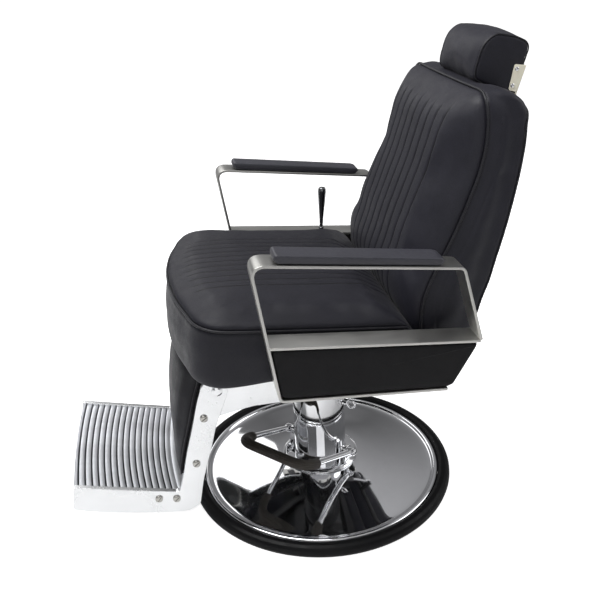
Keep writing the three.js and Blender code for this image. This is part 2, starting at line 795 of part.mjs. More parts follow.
// ---------------------------------------------------------------- backrest
// z, half width, y of the side seam, crown ahead of the seam, y of the rear
const BACK = [
  [482, 250, 187, 12, 279],
  [496, 254, 176, 22, 286],
  [520, 255, 169, 24, 295],
  [560, 252, 172, 30, 307],
  [600, 248, 183, 38, 322],
  [650, 243, 206, 47, 335],
  [700, 237, 232, 52, 349],
  [770, 229, 264, 53, 367],
  [840, 221, 291, 52, 382],
  [890, 216, 300, 40, 388],
  [928, 212, 302, 22, 386.5],
  [952, 208, 300, 11, 372],
  [964, 203, 299, 5, 350],
  [975, 192, 302, 0, 318],
];
const rearAt = (z) => lookup(BACK, z, 4);
function backRing([z, halfWidth, seam, crown, rear]) {
  const half = [
    [halfWidth - 70, seam - crown],
    [halfWidth - 28, seam - 0.88 * crown],
    [halfWidth - 8, seam - 0.5 * crown],
    [halfWidth, seam],
    [halfWidth, rear - 14],
    [halfWidth - 14, rear],
  ];
  return [
    vec3(0, seam - crown - 5, z),
    ...half.map(([x, y]) => vec3(x, y, z)),
    ...half.toReversed().map(([x, y]) => vec3(-x, y, z)),
  ];
}

// Levels inside the cushion that its pocket, its panel and the uprights share.
const BACK_LEVELS = [520, 560, 600, 650, 700, 770, 840, 890];
const uprightNotch = (side) =>
  box(span(side, UPRIGHT_IN - 2, UPRIGHT_OUT + 2), [226, 276], [470, 507]);
piece(
  "backrest_cushion",
  cut(
    loft(BACK.map(backRing)),
    // the pocket in the rear, closed by the back panel
    plateYZ(band([506, ...BACK_LEVELS, 924], rearAt, -34, 12), across(182)),
    uprightNotch(1),
    uprightNotch(-1),
    // the notch for the headrest post
    box(across(18), [358, 400], [918, 990]),
  ),
  "leather",
);
piece(
  "back_panel",
  plateYZ(band([507, ...BACK_LEVELS, 923], rearAt, -12.5, -0.5), across(181.3)),
  "leather",
);

// The foot of each upright, from its rear edge round the pivot to its front edge: [y, z].
const UPRIGHT_FOOT = [
  [273, 503], [233, 432], [224, 420], [208, 418], [199, 427], [200, 444], [256, 503],
];
const upright = (side) =>
  plateYZ(
    [...band([...BACK_LEVELS, 900], rearAt, -30, -15), ...UPRIGHT_FOOT],
    span(side, UPRIGHT_IN, UPRIGHT_OUT),
  );
const crossMember = (bottom, top) =>
  plateYZ(band([bottom, top], rearAt, -29, -16), across(150));
// A flat lug from the hinge tube to a pin, with the pin standing out of it.
const lug = (at, side) =>
  join(
    plateYZ(strip(RECLINE, at, 8, 6), span(side, 86, 92)),
    barX(side * 89, side * 108, ...at, 4, 12),
  );
const pinBore = (side) =>
  barX(side * (UPRIGHT_IN + 0.6), side * 170, ...RECLINE, RECLINE_R + FIT);
piece(
  "back_frame",
  cut(
    join(
      upright(1),
      upright(-1),
      barX(-150, 150, ...RECLINE, 9),
      crossMember(552, 577),
      crossMember(735, 760),
      lug(LINK_LUG, 1),
      lug(LOCK_LUG, -1),
    ),
    pinBore(1),
    pinBore(-1),
  ),
  "steel",
);

// ---------------------------------------------------------------- headrest
const POST_SLOPE = 0.1835; // the post leans back by this much y for each z
const POST_HALF = 15; // half width of the post
const POST_HALF_T = 3; // half thickness of the post
const CRADLE_HALF = 103;
const CRADLE_SHEET = 2.5; // thickness of the side flanges
const postY = (z) => 375 + POST_SLOPE * (z - 950);
const alongPost = (bottom, top, halfThickness, halfWidth) =>
  plateYZ(band([bottom, top], postY, -halfThickness, halfThickness), across(halfWidth));

piece(
  "headrest_socket",
  cut(
    alongPost(866, 900, 7, 22),
    alongPost(850, 915, POST_HALF_T + FIT, POST_HALF + 0.5),
  ),
  "steel",
);
piece("headrest_post", alongPost(790, 945, POST_HALF_T, POST_HALF), "chrome");

// The cradle is a rear plate, two side flanges and the tongue that the post carries: [y, z].
const CRADLE_REAR = [[427.2, 1003.5], [430.2, 1002.8], [412.5, 944.5], [409.4, 945.4]];
const CRADLE_FLANGE = [[404, 1007], [427.8, 1003.5], [413, 951], [395, 956]];
const CRADLE_TONGUE = [
  [366, 952.8], [366, 946.4], [378, 946.4], [399, 941.5],
  [412, 943.5], [412, 946.5], [399, 944.5],
];
const cradleFlange = (side) =>
  plateYZ(CRADLE_FLANGE, span(side, CRADLE_HALF - CRADLE_SHEET, CRADLE_HALF));
piece(
  "headrest_cradle",
  join(
    plateYZ(CRADLE_REAR, across(CRADLE_HALF)),
    cradleFlange(1),
    cradleFlange(-1),
    plateYZ(CRADLE_TONGUE, across(POST_HALF)),
  ),
  "cream",
);

// Outline of the headrest cushion: [y, z].
const HEAD_CUSHION = [
  [352, 1063], [366, 1069], [408, 1060], [428, 1051], [436, 1039],
  [426, 1005], [410, 954], [399, 949.5], [369, 959.5], [340, 970],
  [321, 981], [320, 998], [331, 1038], [339, 1052],
];
piece("headrest_cushion", plateYZ(HEAD_CUSHION, across(99.5), { bevel: 3 }), "leather");

for (const [name, side] of SIDES)
  for (const [level, y, z] of [
    ["upper", 407, 1000],
    ["lower", 400, 966],
  ])
    piece(
      `headrest_screw_${name}_${level}`,
      barX(side * (CRADLE_HALF + 0.3), side * (CRADLE_HALF + 2.6), y, z, 4, 12),
      "chrome",
    );

// ---------------------------------------------------------------- footplate
const FOOT_SLOPE = 0.2345; // the footplate's toe end stands higher
const RIBS = 15;
const RIB_START = -584; // y of the first rib
const RIB_PITCH = 14;
const PLATE_HEEL = -354; // y of the footplate's rear edge
const footZ = (y) => 180 - FOOT_SLOPE * (y + 588);

// Ribs across the plate, then a smooth band at the rear.
function footOutline() {
  const ribsEnd = RIB_START + RIBS * RIB_PITCH;
  const ribs = Array.from({ length: RIBS }, (_, i) => {
    const y = RIB_START + i * RIB_PITCH;
    return [
      [y + 1, footZ(y) - 5],
      [y + 4, footZ(y + 4) - 0.6],
      [y + 9, footZ(y + 9) - 0.6],
      [y + 12, footZ(y + 12) - 5],
    ];
  });
  return [
    [-590, footZ(-590) - 6],
    ...ribs.flat(),
    [ribsEnd, footZ(ribsEnd) - 4],
    [PLATE_HEEL, footZ(PLATE_HEEL) - 4],
    [PLATE_HEEL, footZ(PLATE_HEEL) - 9],
    [-583, footZ(-583) - 9.5],
    [-590.5, 133],
    [-596.5, 133],
  ];
}
piece("foot_plate", plateYZ(footOutline(), across(STRUT_IN - FIT)), "aluminium");

// ---------------------------------------------------------------- footrest struts
// The rods between the struts: name, [y, z], radius.
const STRUT_RODS = [
  ["tie_rod_upper", TIE_UPPER, TIE_R],
  ["tie_rod_lower", [-318, 203], TIE_R],
  ["plate_rod_front", [-410, 122], 4],
  ["plate_rod_rear", [-371, 115], 4],
];
// Outline of the struts: [y, z, corner radius].
const STRUT = [
  [-290, 397, 10], [-280, 411, 12], [-240, 411, 14], [-231, 385], [-251, 333],
  [-267, 293], [-277, 252], [-292, 203], [-306, 155], [-319, 88, 14],
  [-346, 74, 10], [-377, 77], [-456, 90], [-552, 111], [-598, 127, 5],
  [-589, 187, 3], [-542, 175], [-448, 152], [-362, 132, 10], [-349, 177],
  [-337, 230], [-319, 294], [-302, 361],
];
const strutHoles = [
  circlePoints(...FOOT_PIVOT, FOOT_BOLT_R + FIT, 16),
  ...STRUT_RODS.map(([, at, radius]) => circlePoints(...at, radius + FIT, 12)),
];
for (const [name, side] of SIDES)
  piece(
    `footrest_strut_${name}`,
    plateYZ(rounded(STRUT), span(side, STRUT_IN, STRUT_OUT), { holes: strutHoles }),
    "aluminium",
  );
for (const [name, at, radius] of STRUT_RODS) {
  const head = (side) =>
    barX(side * (STRUT_OUT + FIT), side * (STRUT_OUT + 3.6), ...at, 8.5, 12);
  piece(
    name,
    join(barX(-STRUT_OUT - 1, STRUT_OUT + 1, ...at, radius, 12), head(1), head(-1)),
    "brushed",
  );
}

// ---------------------------------------------------------------- calf rest
// The line of the struts' front edge: [z, y].
const STRUT_FRONT = [
  [177, -349], [230, -337], [294, -319], [361, -302], [397, -290], [430, -286],
];
const strutFront = (z) => lookup(STRUT_FRONT, z, 1);

// The pad is crowned: thin at the sides, full in the middle.
// [z, fullness on the centre line]
const CALF_LEVELS = [
  [162, 6], [180, 22], [230, 27], [294, 30], [361, 34], [397, 36], [414, 30], [430, 12],
];
// [x, share of the fullness]
const CALF_STATIONS = [
  [-158, 0], [-135, 0.6], [-80, 0.93], [0, 1], [80, 0.93], [135, 0.6], [158, 0],
];
const calfRing = ([x, share]) => [
  ...CALF_LEVELS.map(([z, full]) => vec3(x, strutFront(z) - share * full - 8, z)),
  ...CALF_LEVELS.toReversed().map(([z]) => vec3(x, strutFront(z) + 3, z)),
];
piece("calf_pad", loft(CALF_STATIONS.map(calfRing)), "leather");

const BOARD_LEVELS = [168, 177, 230, 294, 361, 397, 424];
piece(
  "calf_board",
  plateYZ(band(BOARD_LEVELS, strutFront, 3.5, 9.5), across(154)),
  "plywood",
);

// ---------------------------------------------------------------- footrest link
// A flat bar with an eye on the tie rod and a looser eye on the back frame's pin.
const LINK_X = [97, 103];
const LINK_CUT_X = [90, 110];
piece(
  "footrest_link",
  cut(
    join(
      plateYZ(strip(TIE_UPPER, LINK_LUG, 5), LINK_X),
      plateYZ(circlePoints(...TIE_UPPER, 9.5), LINK_X),
      plateYZ(circlePoints(...LINK_LUG, 12), LINK_X),
    ),
    plateYZ(circlePoints(...TIE_UPPER, TIE_R + FIT, 12), LINK_CUT_X),
    plateYZ(circlePoints(...LINK_LUG, 7), LINK_CUT_X),
  ),
  "steel",
);

export default chair;
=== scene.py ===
"""Hydraulic barber chair: the visible pieces and materials, built round its CAD frame.

The chair stands on a round base centred on the Z axis, with the floor at z = 0. +Z is up, the
chair faces -Y and +X is the sitter's left. Lengths are millimetres unless a comment says
otherwise; meshes, materials, lights and the camera are in metres.
"""

import math

import bmesh
import bpy
import numpy as np
from mathutils import Matrix, Vector
from mathutils.bvhtree import BVHTree
from mathutils.kdtree import KDTree


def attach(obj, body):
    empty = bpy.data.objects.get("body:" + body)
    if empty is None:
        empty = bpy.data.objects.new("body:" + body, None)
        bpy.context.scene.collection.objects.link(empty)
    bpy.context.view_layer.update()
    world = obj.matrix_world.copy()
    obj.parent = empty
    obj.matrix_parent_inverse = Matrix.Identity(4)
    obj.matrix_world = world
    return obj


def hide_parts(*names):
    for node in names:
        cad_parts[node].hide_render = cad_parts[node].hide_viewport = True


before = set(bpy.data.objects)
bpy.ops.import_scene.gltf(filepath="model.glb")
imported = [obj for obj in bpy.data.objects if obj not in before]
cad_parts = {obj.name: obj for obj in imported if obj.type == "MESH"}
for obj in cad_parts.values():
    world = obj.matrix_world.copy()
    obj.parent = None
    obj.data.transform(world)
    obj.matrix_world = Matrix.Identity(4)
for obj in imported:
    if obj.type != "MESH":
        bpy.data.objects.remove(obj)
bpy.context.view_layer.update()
MM = 0.001
SCENE = bpy.context.scene
SIDES = ((1, "left"), (-1, "right"))

# Sewn channels of the cushions, as (pitch, number of seams), centred on x = 0
SEAT_CHANNELS = (27.0, 11)
BACK_CHANNELS = (36.0, 9)


def channel_reach(channels):
    """The x of the outermost seam."""
    pitch, count = channels
    return pitch * (count - 1) / 2


# ------------------------------------------------------------------ node graphs
class Graph:
    """A node tree, emptied and ready to be written."""

    def __init__(self, tree):
        self.tree = tree
        tree.nodes.clear()

    def link(self, source, target):
        self.tree.links.new(source, target)

    def node(self, kind):
        return self.tree.nodes.new("ShaderNode" + kind)

    def put(self, socket, value):
        """Links a socket to the input, or sets its value."""
        if isinstance(value, bpy.types.NodeSocket):
            self.link(value, socket)
        else:
            socket.default_value = value

    def separate(self, vector):
        node = self.node("SeparateXYZ")
        self.link(vector, node.inputs[0])
        return node.outputs

    def ramp(self, value, stops):
        """A colour ramp; stops are (position, colour)."""
        node = self.node("ValToRGB")
        self.link(value, node.inputs[0])
        elements = node.color_ramp.elements
        while len(elements) < len(stops):
            elements.new(0.5)
        for element, (position, colour) in zip(elements, stops):
            element.position = position
            element.color = (*colour, 1.0)
        return node.outputs[0]


class Surface(Graph):
    """A material round one Principled shader, textured in object space."""

    def __init__(self, name):
        self.mat = bpy.data.materials.new(name)
        self.mat.use_nodes = True
        super().__init__(self.mat.node_tree)
        self.out = self.node("OutputMaterial")
        self.bsdf = self.node("BsdfPrincipled")
        self.link(self.bsdf.outputs[0], self.out.inputs["Surface"])
        self.pos = self.node("TexCoord").outputs["Object"]

    def set(self, **values):
        """Sets Principled inputs; an underscore stands for a space."""
        for key, value in values.items():
            self.put(self.bsdf.inputs[key.replace("_", " ")], value)

    def noise(self, detail, rough, scale=1.0, distortion=0.0, stretch=None):
        """Noise texture; stretch scales the position on each axis first."""
        vector = self.pos
        if stretch:
            mapping = self.node("Mapping")
            self.link(self.pos, mapping.inputs["Vector"])
            mapping.inputs["Scale"].default_value = stretch
            vector = mapping.outputs[0]
        node = self.node("TexNoise")
        self.link(vector, node.inputs["Vector"])
        node.inputs["Scale"].default_value = scale
        node.inputs["Detail"].default_value = detail
        node.inputs["Roughness"].default_value = rough
        node.inputs["Distortion"].default_value = distortion
        return node.outputs[0]

    def cells(self, scale):
        node = self.node("TexVoronoi")
        self.link(self.pos, node.inputs["Vector"])
        node.inputs["Scale"].default_value = scale
        return node.outputs["Distance"]

    def attribute(self, name):
        node = self.node("Attribute")
        node.attribute_name = name
        return node.outputs["Fac"]

    def remap(self, value, span, to=(0.0, 1.0)):
        node = self.node("MapRange")
        self.link(value, node.inputs["Value"])
        for key, number in zip(("From Min", "From Max", "To Min", "To Max"), (*span, *to)):
            node.inputs[key].default_value = number
        return node.outputs[0]

    def math(self, operation, a, b=0.0, c=0.0):
        node = self.node("Math")
        node.operation = operation
        for socket, value in zip(node.inputs, (a, b, c)):
            self.put(socket, value)
        return node.outputs[0]

    def mix(self, factor, first, second):
        """Mixes two colours, each a socket or an RGB triple."""
        node = self.node("Mix")
        node.data_type = "RGBA"
        self.link(factor, node.inputs[0])
        for i, colour in ((6, first), (7, second)):
            self.put(node.inputs[i], (*colour, 1.0) if isinstance(colour, tuple) else colour)
        return node.outputs[2]

    def bump(self, height, strength, distance, normal=None):
        node = self.node("Bump")
        node.inputs["Strength"].default_value = strength
        node.inputs["Distance"].default_value = distance
        self.link(height, node.inputs["Height"])
        if normal is not None:
            self.link(normal, node.inputs["Normal"])
        return node.outputs[0]

    def worn(self, colour, bare, amount, span):
        """Shows the bare colour on edges whose pointiness is over the span."""
        pointiness = self.node("NewGeometry").outputs["Pointiness"]
        edges = self.remap(pointiness, span)
        return self.mix(self.math("MULTIPLY", edges, amount), colour, bare)


def tint(colour, factor):
    return tuple(min(1.0, channel * factor) for channel in colour)


# ------------------------------------------------------------------ materials
BLUE_BLACK = (0.0118, 0.0116, 0.0172)


def stitched(m, colour, channels):
    """Dark grooves along the sewn channels with dashes of thread in them (metres)."""
    pitch = channels[0] * MM
    first = -channel_reach(channels) * MM
    thread_half, groove_core, groove_edge = 0.00055, 0.0012, 0.0026
    dashes_per_metre, dash_share = 260.0, 0.72
    x, y, z = m.separate(m.pos)
    cell = m.math("DIVIDE", m.math("SUBTRACT", x, first - pitch / 2), pitch)
    off = m.math("ABSOLUTE", m.math("SUBTRACT", m.math("FRACT", cell), 0.5))
    line = m.math("LESS_THAN", off, thread_half / pitch)
    along_y = m.math("MULTIPLY", y, dashes_per_metre)
    along_z = m.math("MULTIPLY", z, dashes_per_metre)
    run = m.math("ADD", along_y, along_z)
    dash = m.math("LESS_THAN", m.math("FRACT", run), dash_share)
    sewn = m.attribute("sewn")
    thread = m.math("MULTIPLY", m.math("MULTIPLY", line, dash), sewn)
    colour = m.mix(thread, colour, (0.020, 0.020, 0.024))
    # painted shade: each groove's colour runs to near black, standing in for the shade a deep channel
    # holds
    groove_shade_mask = m.remap(off, span=(groove_core / pitch, groove_edge / pitch), to=(1.0, 0.0))
    groove = m.math("MULTIPLY", sewn, groove_shade_mask)
    return m.mix(m.math("MULTIPLY", groove, 0.9), colour, (0.0015, 0.0015, 0.002))


def leather(name, base=BLUE_BLACK, light=1.4, rough=0.50, crease=0.10, specular=0.30,
            channels=None):
    """Upholstery leather: fine grain, creases, slow colour change, and any sewn channels."""
    m = Surface(name)
    slow = m.noise(scale=5.0, detail=4.0, rough=0.6)
    cloudy = m.noise(scale=38.0, detail=5.0, rough=0.65, distortion=0.4)
    grain = m.cells(scale=620.0)
    pores = m.noise(scale=1500.0, detail=2.0, rough=0.5)
    colour = m.mix(m.remap(slow, span=(0.3, 0.72)), base, tint(base, light))
    colour = m.mix(m.remap(cloudy, span=(0.42, 0.7), to=(0.0, 0.3)), colour, tint(base, 1.9))
    colour = m.mix(m.remap(grain, span=(0.5, 0.9), to=(0.0, 0.35)), colour, tint(base, 0.5))
    colour = m.worn(colour, tint(base, 3.2), amount=0.22, span=(0.53, 0.62))
    roughness = m.math(
        "ADD",
        m.remap(cloudy, span=(0.25, 0.8), to=(rough - 0.10, rough + 0.10)),
        m.remap(grain, span=(0.2, 0.8), to=(-0.04, 0.08)),
    )
    # the grain is pressed in, the pores add a third as much relief
    height = m.math("MULTIPLY_ADD", grain, -1.0, m.math("MULTIPLY", pores, 0.35))
    creases = m.noise(scale=95.0, detail=6.0, rough=0.7, distortion=1.2)
    normal = m.bump(creases, strength=crease, distance=0.0010)
    normal = m.bump(height, strength=0.24, distance=0.0004, normal=normal)
    if channels:
        colour = stitched(m, colour, channels)
    m.set(
        Base_Color=colour,
        Roughness=roughness,
        Normal=normal,
        Specular_IOR_Level=specular,
        Sheen_Weight=0.04,
        Sheen_Roughness=0.4,
    )
    return m.mat


def metal_surface(name, base, rough, spread, streak=None, wear=0.0, smudge=18.0):
    """Polished metal with handling marks; streak scales the axes of brushed lines."""
    m = Surface(name)
    marks = m.noise(scale=smudge, detail=5.0, rough=0.62, distortion=0.6)
    fine = m.noise(scale=240.0, detail=3.0, rough=0.6)
    roughness = m.math(
        "ADD",
        m.remap(marks, span=(0.35, 0.75), to=(rough, rough + spread)),
        m.remap(fine, span=(0.3, 0.8), to=(0.0, spread * 0.3)),
    )
    colour = m.mix(m.remap(marks, span=(0.3, 0.75)), base, tint(base, 0.9))
    if streak:
        lines = m.noise(detail=4.0, rough=0.7, stretch=streak)
        uneven = m.remap(lines, span=(0.3, 0.7), to=(-0.05, 0.08))
        roughness = m.math("ADD", roughness, uneven)
        dark = m.remap(lines, span=(0.35, 0.68), to=(0.0, 0.6))
        colour = m.mix(dark, colour, tint(base, 0.78))
        m.set(Normal=m.bump(lines, strength=0.10, distance=0.0002))
    if wear:
        colour = m.worn(colour, tint(base, 1.25), amount=wear, span=(0.52, 0.6))
    m.set(Base_Color=colour, Metallic=1.0, Roughness=roughness)
    return m, colour


def metal(name, base, **look):
    return metal_surface(name, base, **look)[0].mat


def ribbed(name, base):
    """Cast ribs: scratched bright crests, dark grooves, slow bands of polish."""
    m, colour = metal_surface(name, base, rough=0.36, spread=0.10, smudge=30.0)
    # painted reflection: slow light and dark stripes along x, standing in for the room mirrored in
    # the ribs
    reflection_bands = m.noise(detail=3.0, rough=0.6, stretch=(9.0, 2.2, 2.2))
    scratches = m.noise(detail=3.0, rough=0.7, stretch=(30.0, 700.0, 700.0))
    colour = m.mix(m.remap(reflection_bands, span=(0.38, 0.62), to=(0.0, 0.6)), colour, tint(base, 0.6))
    bright = m.remap(scratches, span=(0.5, 0.75), to=(0.0, 0.5))
    colour = m.mix(bright, colour, tint(base, 1.5))
    # painted shade: the grooves, marked by an attribute of the foot plate, darken to near black
    m.set(Base_Color=m.mix(m.attribute("rib_groove_shade"), colour, (0.012, 0.012, 0.014)))
    return m.mat


def painted(name, base, rough=0.45, metallic=0.0, speck=900.0, bump=0.15,
            worn=(0.5, 0.5, 0.5), wear=0.15, specular=0.5):
    """Coated or moulded surface: orange peel of scale speck, wear on the edges."""
    m = Surface(name)
    slow = m.noise(scale=9.0, detail=4.0, rough=0.6)
    peel = m.noise(scale=speck, detail=2.0, rough=0.5)
    colour = m.mix(m.remap(slow, span=(0.3, 0.75)), base, tint(base, 1.35))
    colour = m.worn(colour, worn, amount=wear, span=(0.53, 0.63))
    patches = m.noise(scale=60.0, detail=4.0, rough=0.6)
    m.set(
        Base_Color=colour,
        Metallic=metallic,
        Roughness=m.remap(patches, span=(0.3, 0.75), to=(rough - 0.07, rough + 0.1)),
        Normal=m.bump(peel, strength=bump, distance=0.0004),
        Specular_IOR_Level=specular,
    )
    return m.mat


def wood(name):
    """Birch plywood: grain along X, plies stacked in Z."""
    m = Surface(name)
    grain = m.noise(detail=6.0, rough=0.65, distortion=0.5, stretch=(14.0, 160.0, 160.0))
    plies_per_metre = 620.0
    plies = m.math("FRACT", m.math("MULTIPLY", m.separate(m.pos)[2], plies_per_metre))
    tones = [(0.25, (0.30, 0.17, 0.08)), (0.5, (0.46, 0.30, 0.16)), (0.8, (0.60, 0.43, 0.26))]
    colour = m.ramp(grain, tones)
    dark_ply = m.math("MULTIPLY", m.math("GREATER_THAN", plies, 0.5), 0.12)
    m.set(
        Base_Color=m.mix(dark_ply, colour, (0.16, 0.09, 0.04)),
        Roughness=m.remap(grain, span=(0.2, 0.8), to=(0.55, 0.8)),
        Normal=m.bump(grain, strength=0.2, distance=0.0004),
    )
    return m.mat


# plywood is part of the set, though no piece wears it: the boards wear near-black painted shade
MAT = {
    "seat_leather": leather(
        "seat_leather", base=(0.0088, 0.0086, 0.0132), light=1.35, channels=SEAT_CHANNELS
    ),
    "back_leather": leather("back_leather", light=1.35, channels=BACK_CHANNELS),
    "leather": leather("plain_leather"),
    "calf_leather": leather("calf_leather", base=(0.0070, 0.0068, 0.0092), specular=0.24),
    "panel_leather": leather(
        "panel_leather", base=(0.0052, 0.0051, 0.0058), rough=0.56, crease=0.02, specular=0.18
    ),
    "piping": leather("piping_leather", base=(0.012, 0.012, 0.015), rough=0.40),
    "chrome": metal("chrome", (0.90, 0.905, 0.92), rough=0.035, spread=0.05),
    "screw": metal("screw_metal", (0.50, 0.49, 0.46), rough=0.16, spread=0.08, wear=0.5),
    # painted reflection: the lever handle is chrome with its base darkened, painting the dark
    # surroundings it mirrors
    "lever": metal("lever_chrome_painted_dark", (0.21, 0.215, 0.222), rough=0.07, spread=0.06),
    "dish": metal("chrome_dish", (0.86, 0.865, 0.885), rough=0.03, spread=0.04, smudge=7.0),
    "aluminium": metal(
        "polished_aluminium", (0.93, 0.94, 0.95), rough=0.24, spread=0.05, wear=0.1, smudge=9.0
    ),
    "ribs": ribbed("ribbed_aluminium", (0.94, 0.96, 1.0)),
    "brushed": metal(
        "brushed_bar", (0.56, 0.555, 0.53), rough=0.30, spread=0.10,
        streak=(1300.0, 7.0, 7.0), wear=0.9, smudge=16.0,
    ),
    "steel": painted("frame_steel", (0.012, 0.012, 0.013), metallic=0.1, bump=0.2),
    "rubber": painted(
        "floor_rubber", (0.0028, 0.0028, 0.0034), rough=0.42, speck=420.0, bump=0.25,
        worn=(0.10, 0.10, 0.10), wear=0.35, specular=0.18,
    ),
    "grip": painted(
        "grip_rubber", (0.030, 0.025, 0.020), rough=0.55, speck=500.0, bump=0.3,
        worn=(0.14, 0.12, 0.10), wear=0.5,
    ),
    "pad": painted(
        "moulded_pad", (0.031, 0.031, 0.039), rough=0.42, speck=1100.0, bump=0.18,
        worn=(0.16, 0.16, 0.17), wear=0.35,
    ),
    "cream": painted(
        "cream_paint", (0.86, 0.75, 0.61), rough=0.36, speck=300.0, bump=0.12,
        worn=(0.62, 0.58, 0.50), wear=0.6,
    ),
    "nylon": painted("black_nylon", (0.022, 0.022, 0.024), rough=0.40, speck=800.0),
    "plywood": wood("birch_plywood"),
    # painted shade: the seat and calf boards are coloured near black so the dish mirrors them dark
    "underside_shade": painted(
        "underside_painted_shade", (0.0055, 0.0055, 0.006), rough=0.75, speck=1400.0, bump=0.35,
        worn=(0.02, 0.02, 0.02), wear=0.2,
    ),
}


# ------------------------------------------------------------------ outlines and paths
def rounded(corners, steps=8, default=0.0, closed=True):
    """A polygon with its corners rounded; corners are (a, b[, radius])."""
    result = []
    count = len(corners)
    for i, corner in enumerate(corners):
        radius = corner[2] if len(corner) > 2 else default
        point = np.array(corner[:2], float)
        if not radius or (not closed and i in (0, count - 1)):
            result.append(tuple(point))
            continue
        back = np.array(corners[(i - 1) % count][:2], float) - point
        ahead = np.array(corners[(i + 1) % count][:2], float) - point
        len_back, len_ahead = np.linalg.norm(back), np.linalg.norm(ahead)
        half = math.acos(max(-1, min(1, float(back @ ahead) / (len_back * len_ahead)))) / 2
        if half < 1.5706:
            reach = min(radius / math.tan(half), 0.49 * len_back, 0.49 * len_ahead)
        else:
            reach = min(len_back, len_ahead) * 0.49
        start, end = point + back / len_back * reach, point + ahead / len_ahead * reach
        for k in range(steps + 1):
            u = k / steps
            result.append(tuple((1 - u) ** 2 * start + 2 * u * (1 - u) * point + u * u * end))
    return result


def circle(y, z, radius, count=48):
    turns = [2 * math.pi * i / count for i in range(count)]
    return [(y + radius * math.cos(a), z + radius * math.sin(a)) for a in turns]


def resample(points, count, closed=True):
    """Points at even steps along a polyline."""
    p = np.asarray(points, float)
    if closed:
        p = np.vstack([p, p[:1]])
    run = np.concatenate([[0], np.cumsum(np.linalg.norm(np.diff(p, axis=0), axis=1))])
    at = np.linspace(0, run[-1], count, endpoint=not closed)
    return np.stack([np.interp(at, run, p[:, k]) for k in range(p.shape[1])], 1)


def spline(points, count, closed=False):
    """A smooth curve through the points, sampled at even steps."""
    p = np.asarray(points, float)
    n = len(p)
    result = []
    for i in range(n if closed else n - 1):
        q = [p[(i + k) % n] if closed else p[min(max(i + k, 0), n - 1)] for k in (-1, 0, 1, 2)]
        for u in np.linspace(0, 1, 12, endpoint=False):
            result.append(
                0.5
                * (
                    2 * q[1]
                    + (q[2] - q[0]) * u
                    + (2 * q[0] - 5 * q[1] + 4 * q[2] - q[3]) * u**2
                    + (3 * q[1] - q[0] - 3 * q[2] + q[3]) * u**3
                )
            )
    if not closed:
        result.append(p[-1])
    return resample(result, count, closed)


def smooth_table(rows, at):
    """Rows keyed by their first column, read at the given keys without overshoot."""
    rows = np.asarray(rows, float)
    keys, at = rows[:, 0], np.asarray(at, float)
    result = [at]
    for column in range(1, rows.shape[1]):
        v = rows[:, column]
        rise = np.diff(v) / np.diff(keys)
        slope = np.zeros_like(v)
        slope[0], slope[-1] = rise[0], rise[-1]
        for i in range(1, len(v) - 1):
            if rise[i - 1] * rise[i] > 0:
                slope[i] = 2 / (1 / rise[i - 1] + 1 / rise[i])
        i = np.clip(np.searchsorted(keys, at, side="right") - 1, 0, len(keys) - 2)
        h = keys[i + 1] - keys[i]
        t = (at - keys[i]) / h
        result.append(
            (2 * t**3 - 3 * t**2 + 1) * v[i]
            + (t**3 - 2 * t**2 + t) * h * slope[i]
            + (-2 * t**3 + 3 * t**2) * v[i + 1]
            + (t**3 - t**2) * h * slope[i + 1]
        )
    return np.stack(result, 1)


def round_path(points, reach, step):
    """A path of even steps whose corners are cut back by reach and rounded."""
    p = [np.array(q, float) for q in points]
    result = [p[0]]
    for i in range(1, len(p) - 1):
        back, ahead = p[i - 1] - p[i], p[i + 1] - p[i]
        back = back / np.linalg.norm(back) * reach
        ahead = ahead / np.linalg.norm(ahead) * reach
        for u in np.linspace(0, 1, 14):
            bend = (1 - u) ** 2 * (p[i] + back) + 2 * u * (1 - u) * p[i]
            result.append(bend + u * u * (p[i] + ahead))
    result.append(p[-1])
    length = np.linalg.norm(np.diff(np.array(result), axis=0), axis=1).sum()
    return resample(result, max(4, int(length / step)), closed=False)


def outward_normals(loop):
    """Unit normals of an anticlockwise closed outline."""
    tangent = np.roll(loop, -1, 0) - np.roll(loop, 1, 0)
    tangent /= np.linalg.norm(tangent, axis=1)[:, None]
    return np.stack([tangent[:, 1], -tangent[:, 0]], 1)


def mirror(points):
    """The points mirrored in x, in reverse order."""
    return [(-p[0], *p[1:]) for p in points[::-1]]


def x_span(side, inner, outer):
    """The x range between two distances from the middle on one side, low end first."""
    return (inner, outer) if side > 0 else (-outer, -inner)


def at_x(x, outline):
    """A (y, z) outline as 3D points at one x."""
    return np.stack([np.full(len(outline), x), outline[:, 0], outline[:, 1]], 1)


def at_z(z, outline):
    """An (x, y) outline as 3D points at one z."""
    return np.stack([outline[:, 0], outline[:, 1], np.full(len(outline), float(z))], 1)


def ease(v, start, end):
    """0 before start, 1 after end, with a smooth step between."""
    t = np.clip((v - start) / (end - start), 0, 1)
    return t * t * (3 - 2 * t)


# ------------------------------------------------------------------ meshes
def add_object(name, mesh):
    obj = bpy.data.objects.new(name, mesh)
    SCENE.collection.objects.link(obj)
    return obj


def add_bmesh(name, bm):
    mesh = bpy.data.meshes.new(name)
    bm.to_mesh(mesh)
    bm.free()
    return add_object(name, mesh)


def tidy(mesh, merge):
    """Merges points closer than merge (metres) and turns the faces outward."""
    bm = bmesh.new()
    bm.from_mesh(mesh)
    bmesh.ops.remove_doubles(bm, verts=bm.verts, dist=merge)
    bmesh.ops.recalc_face_normals(bm, faces=bm.faces)
    bm.to_mesh(mesh)
    bm.free()


def shade(obj, sharp=35.0):
    """Smooth shading, with edges over sharp degrees kept crisp; 0 keeps none."""
    mesh = obj.data
    mesh.polygons.foreach_set("use_smooth", [True] * len(mesh.polygons))
    if sharp:
        mesh.set_sharp_from_angle(angle=math.radians(sharp))
    mesh.update()


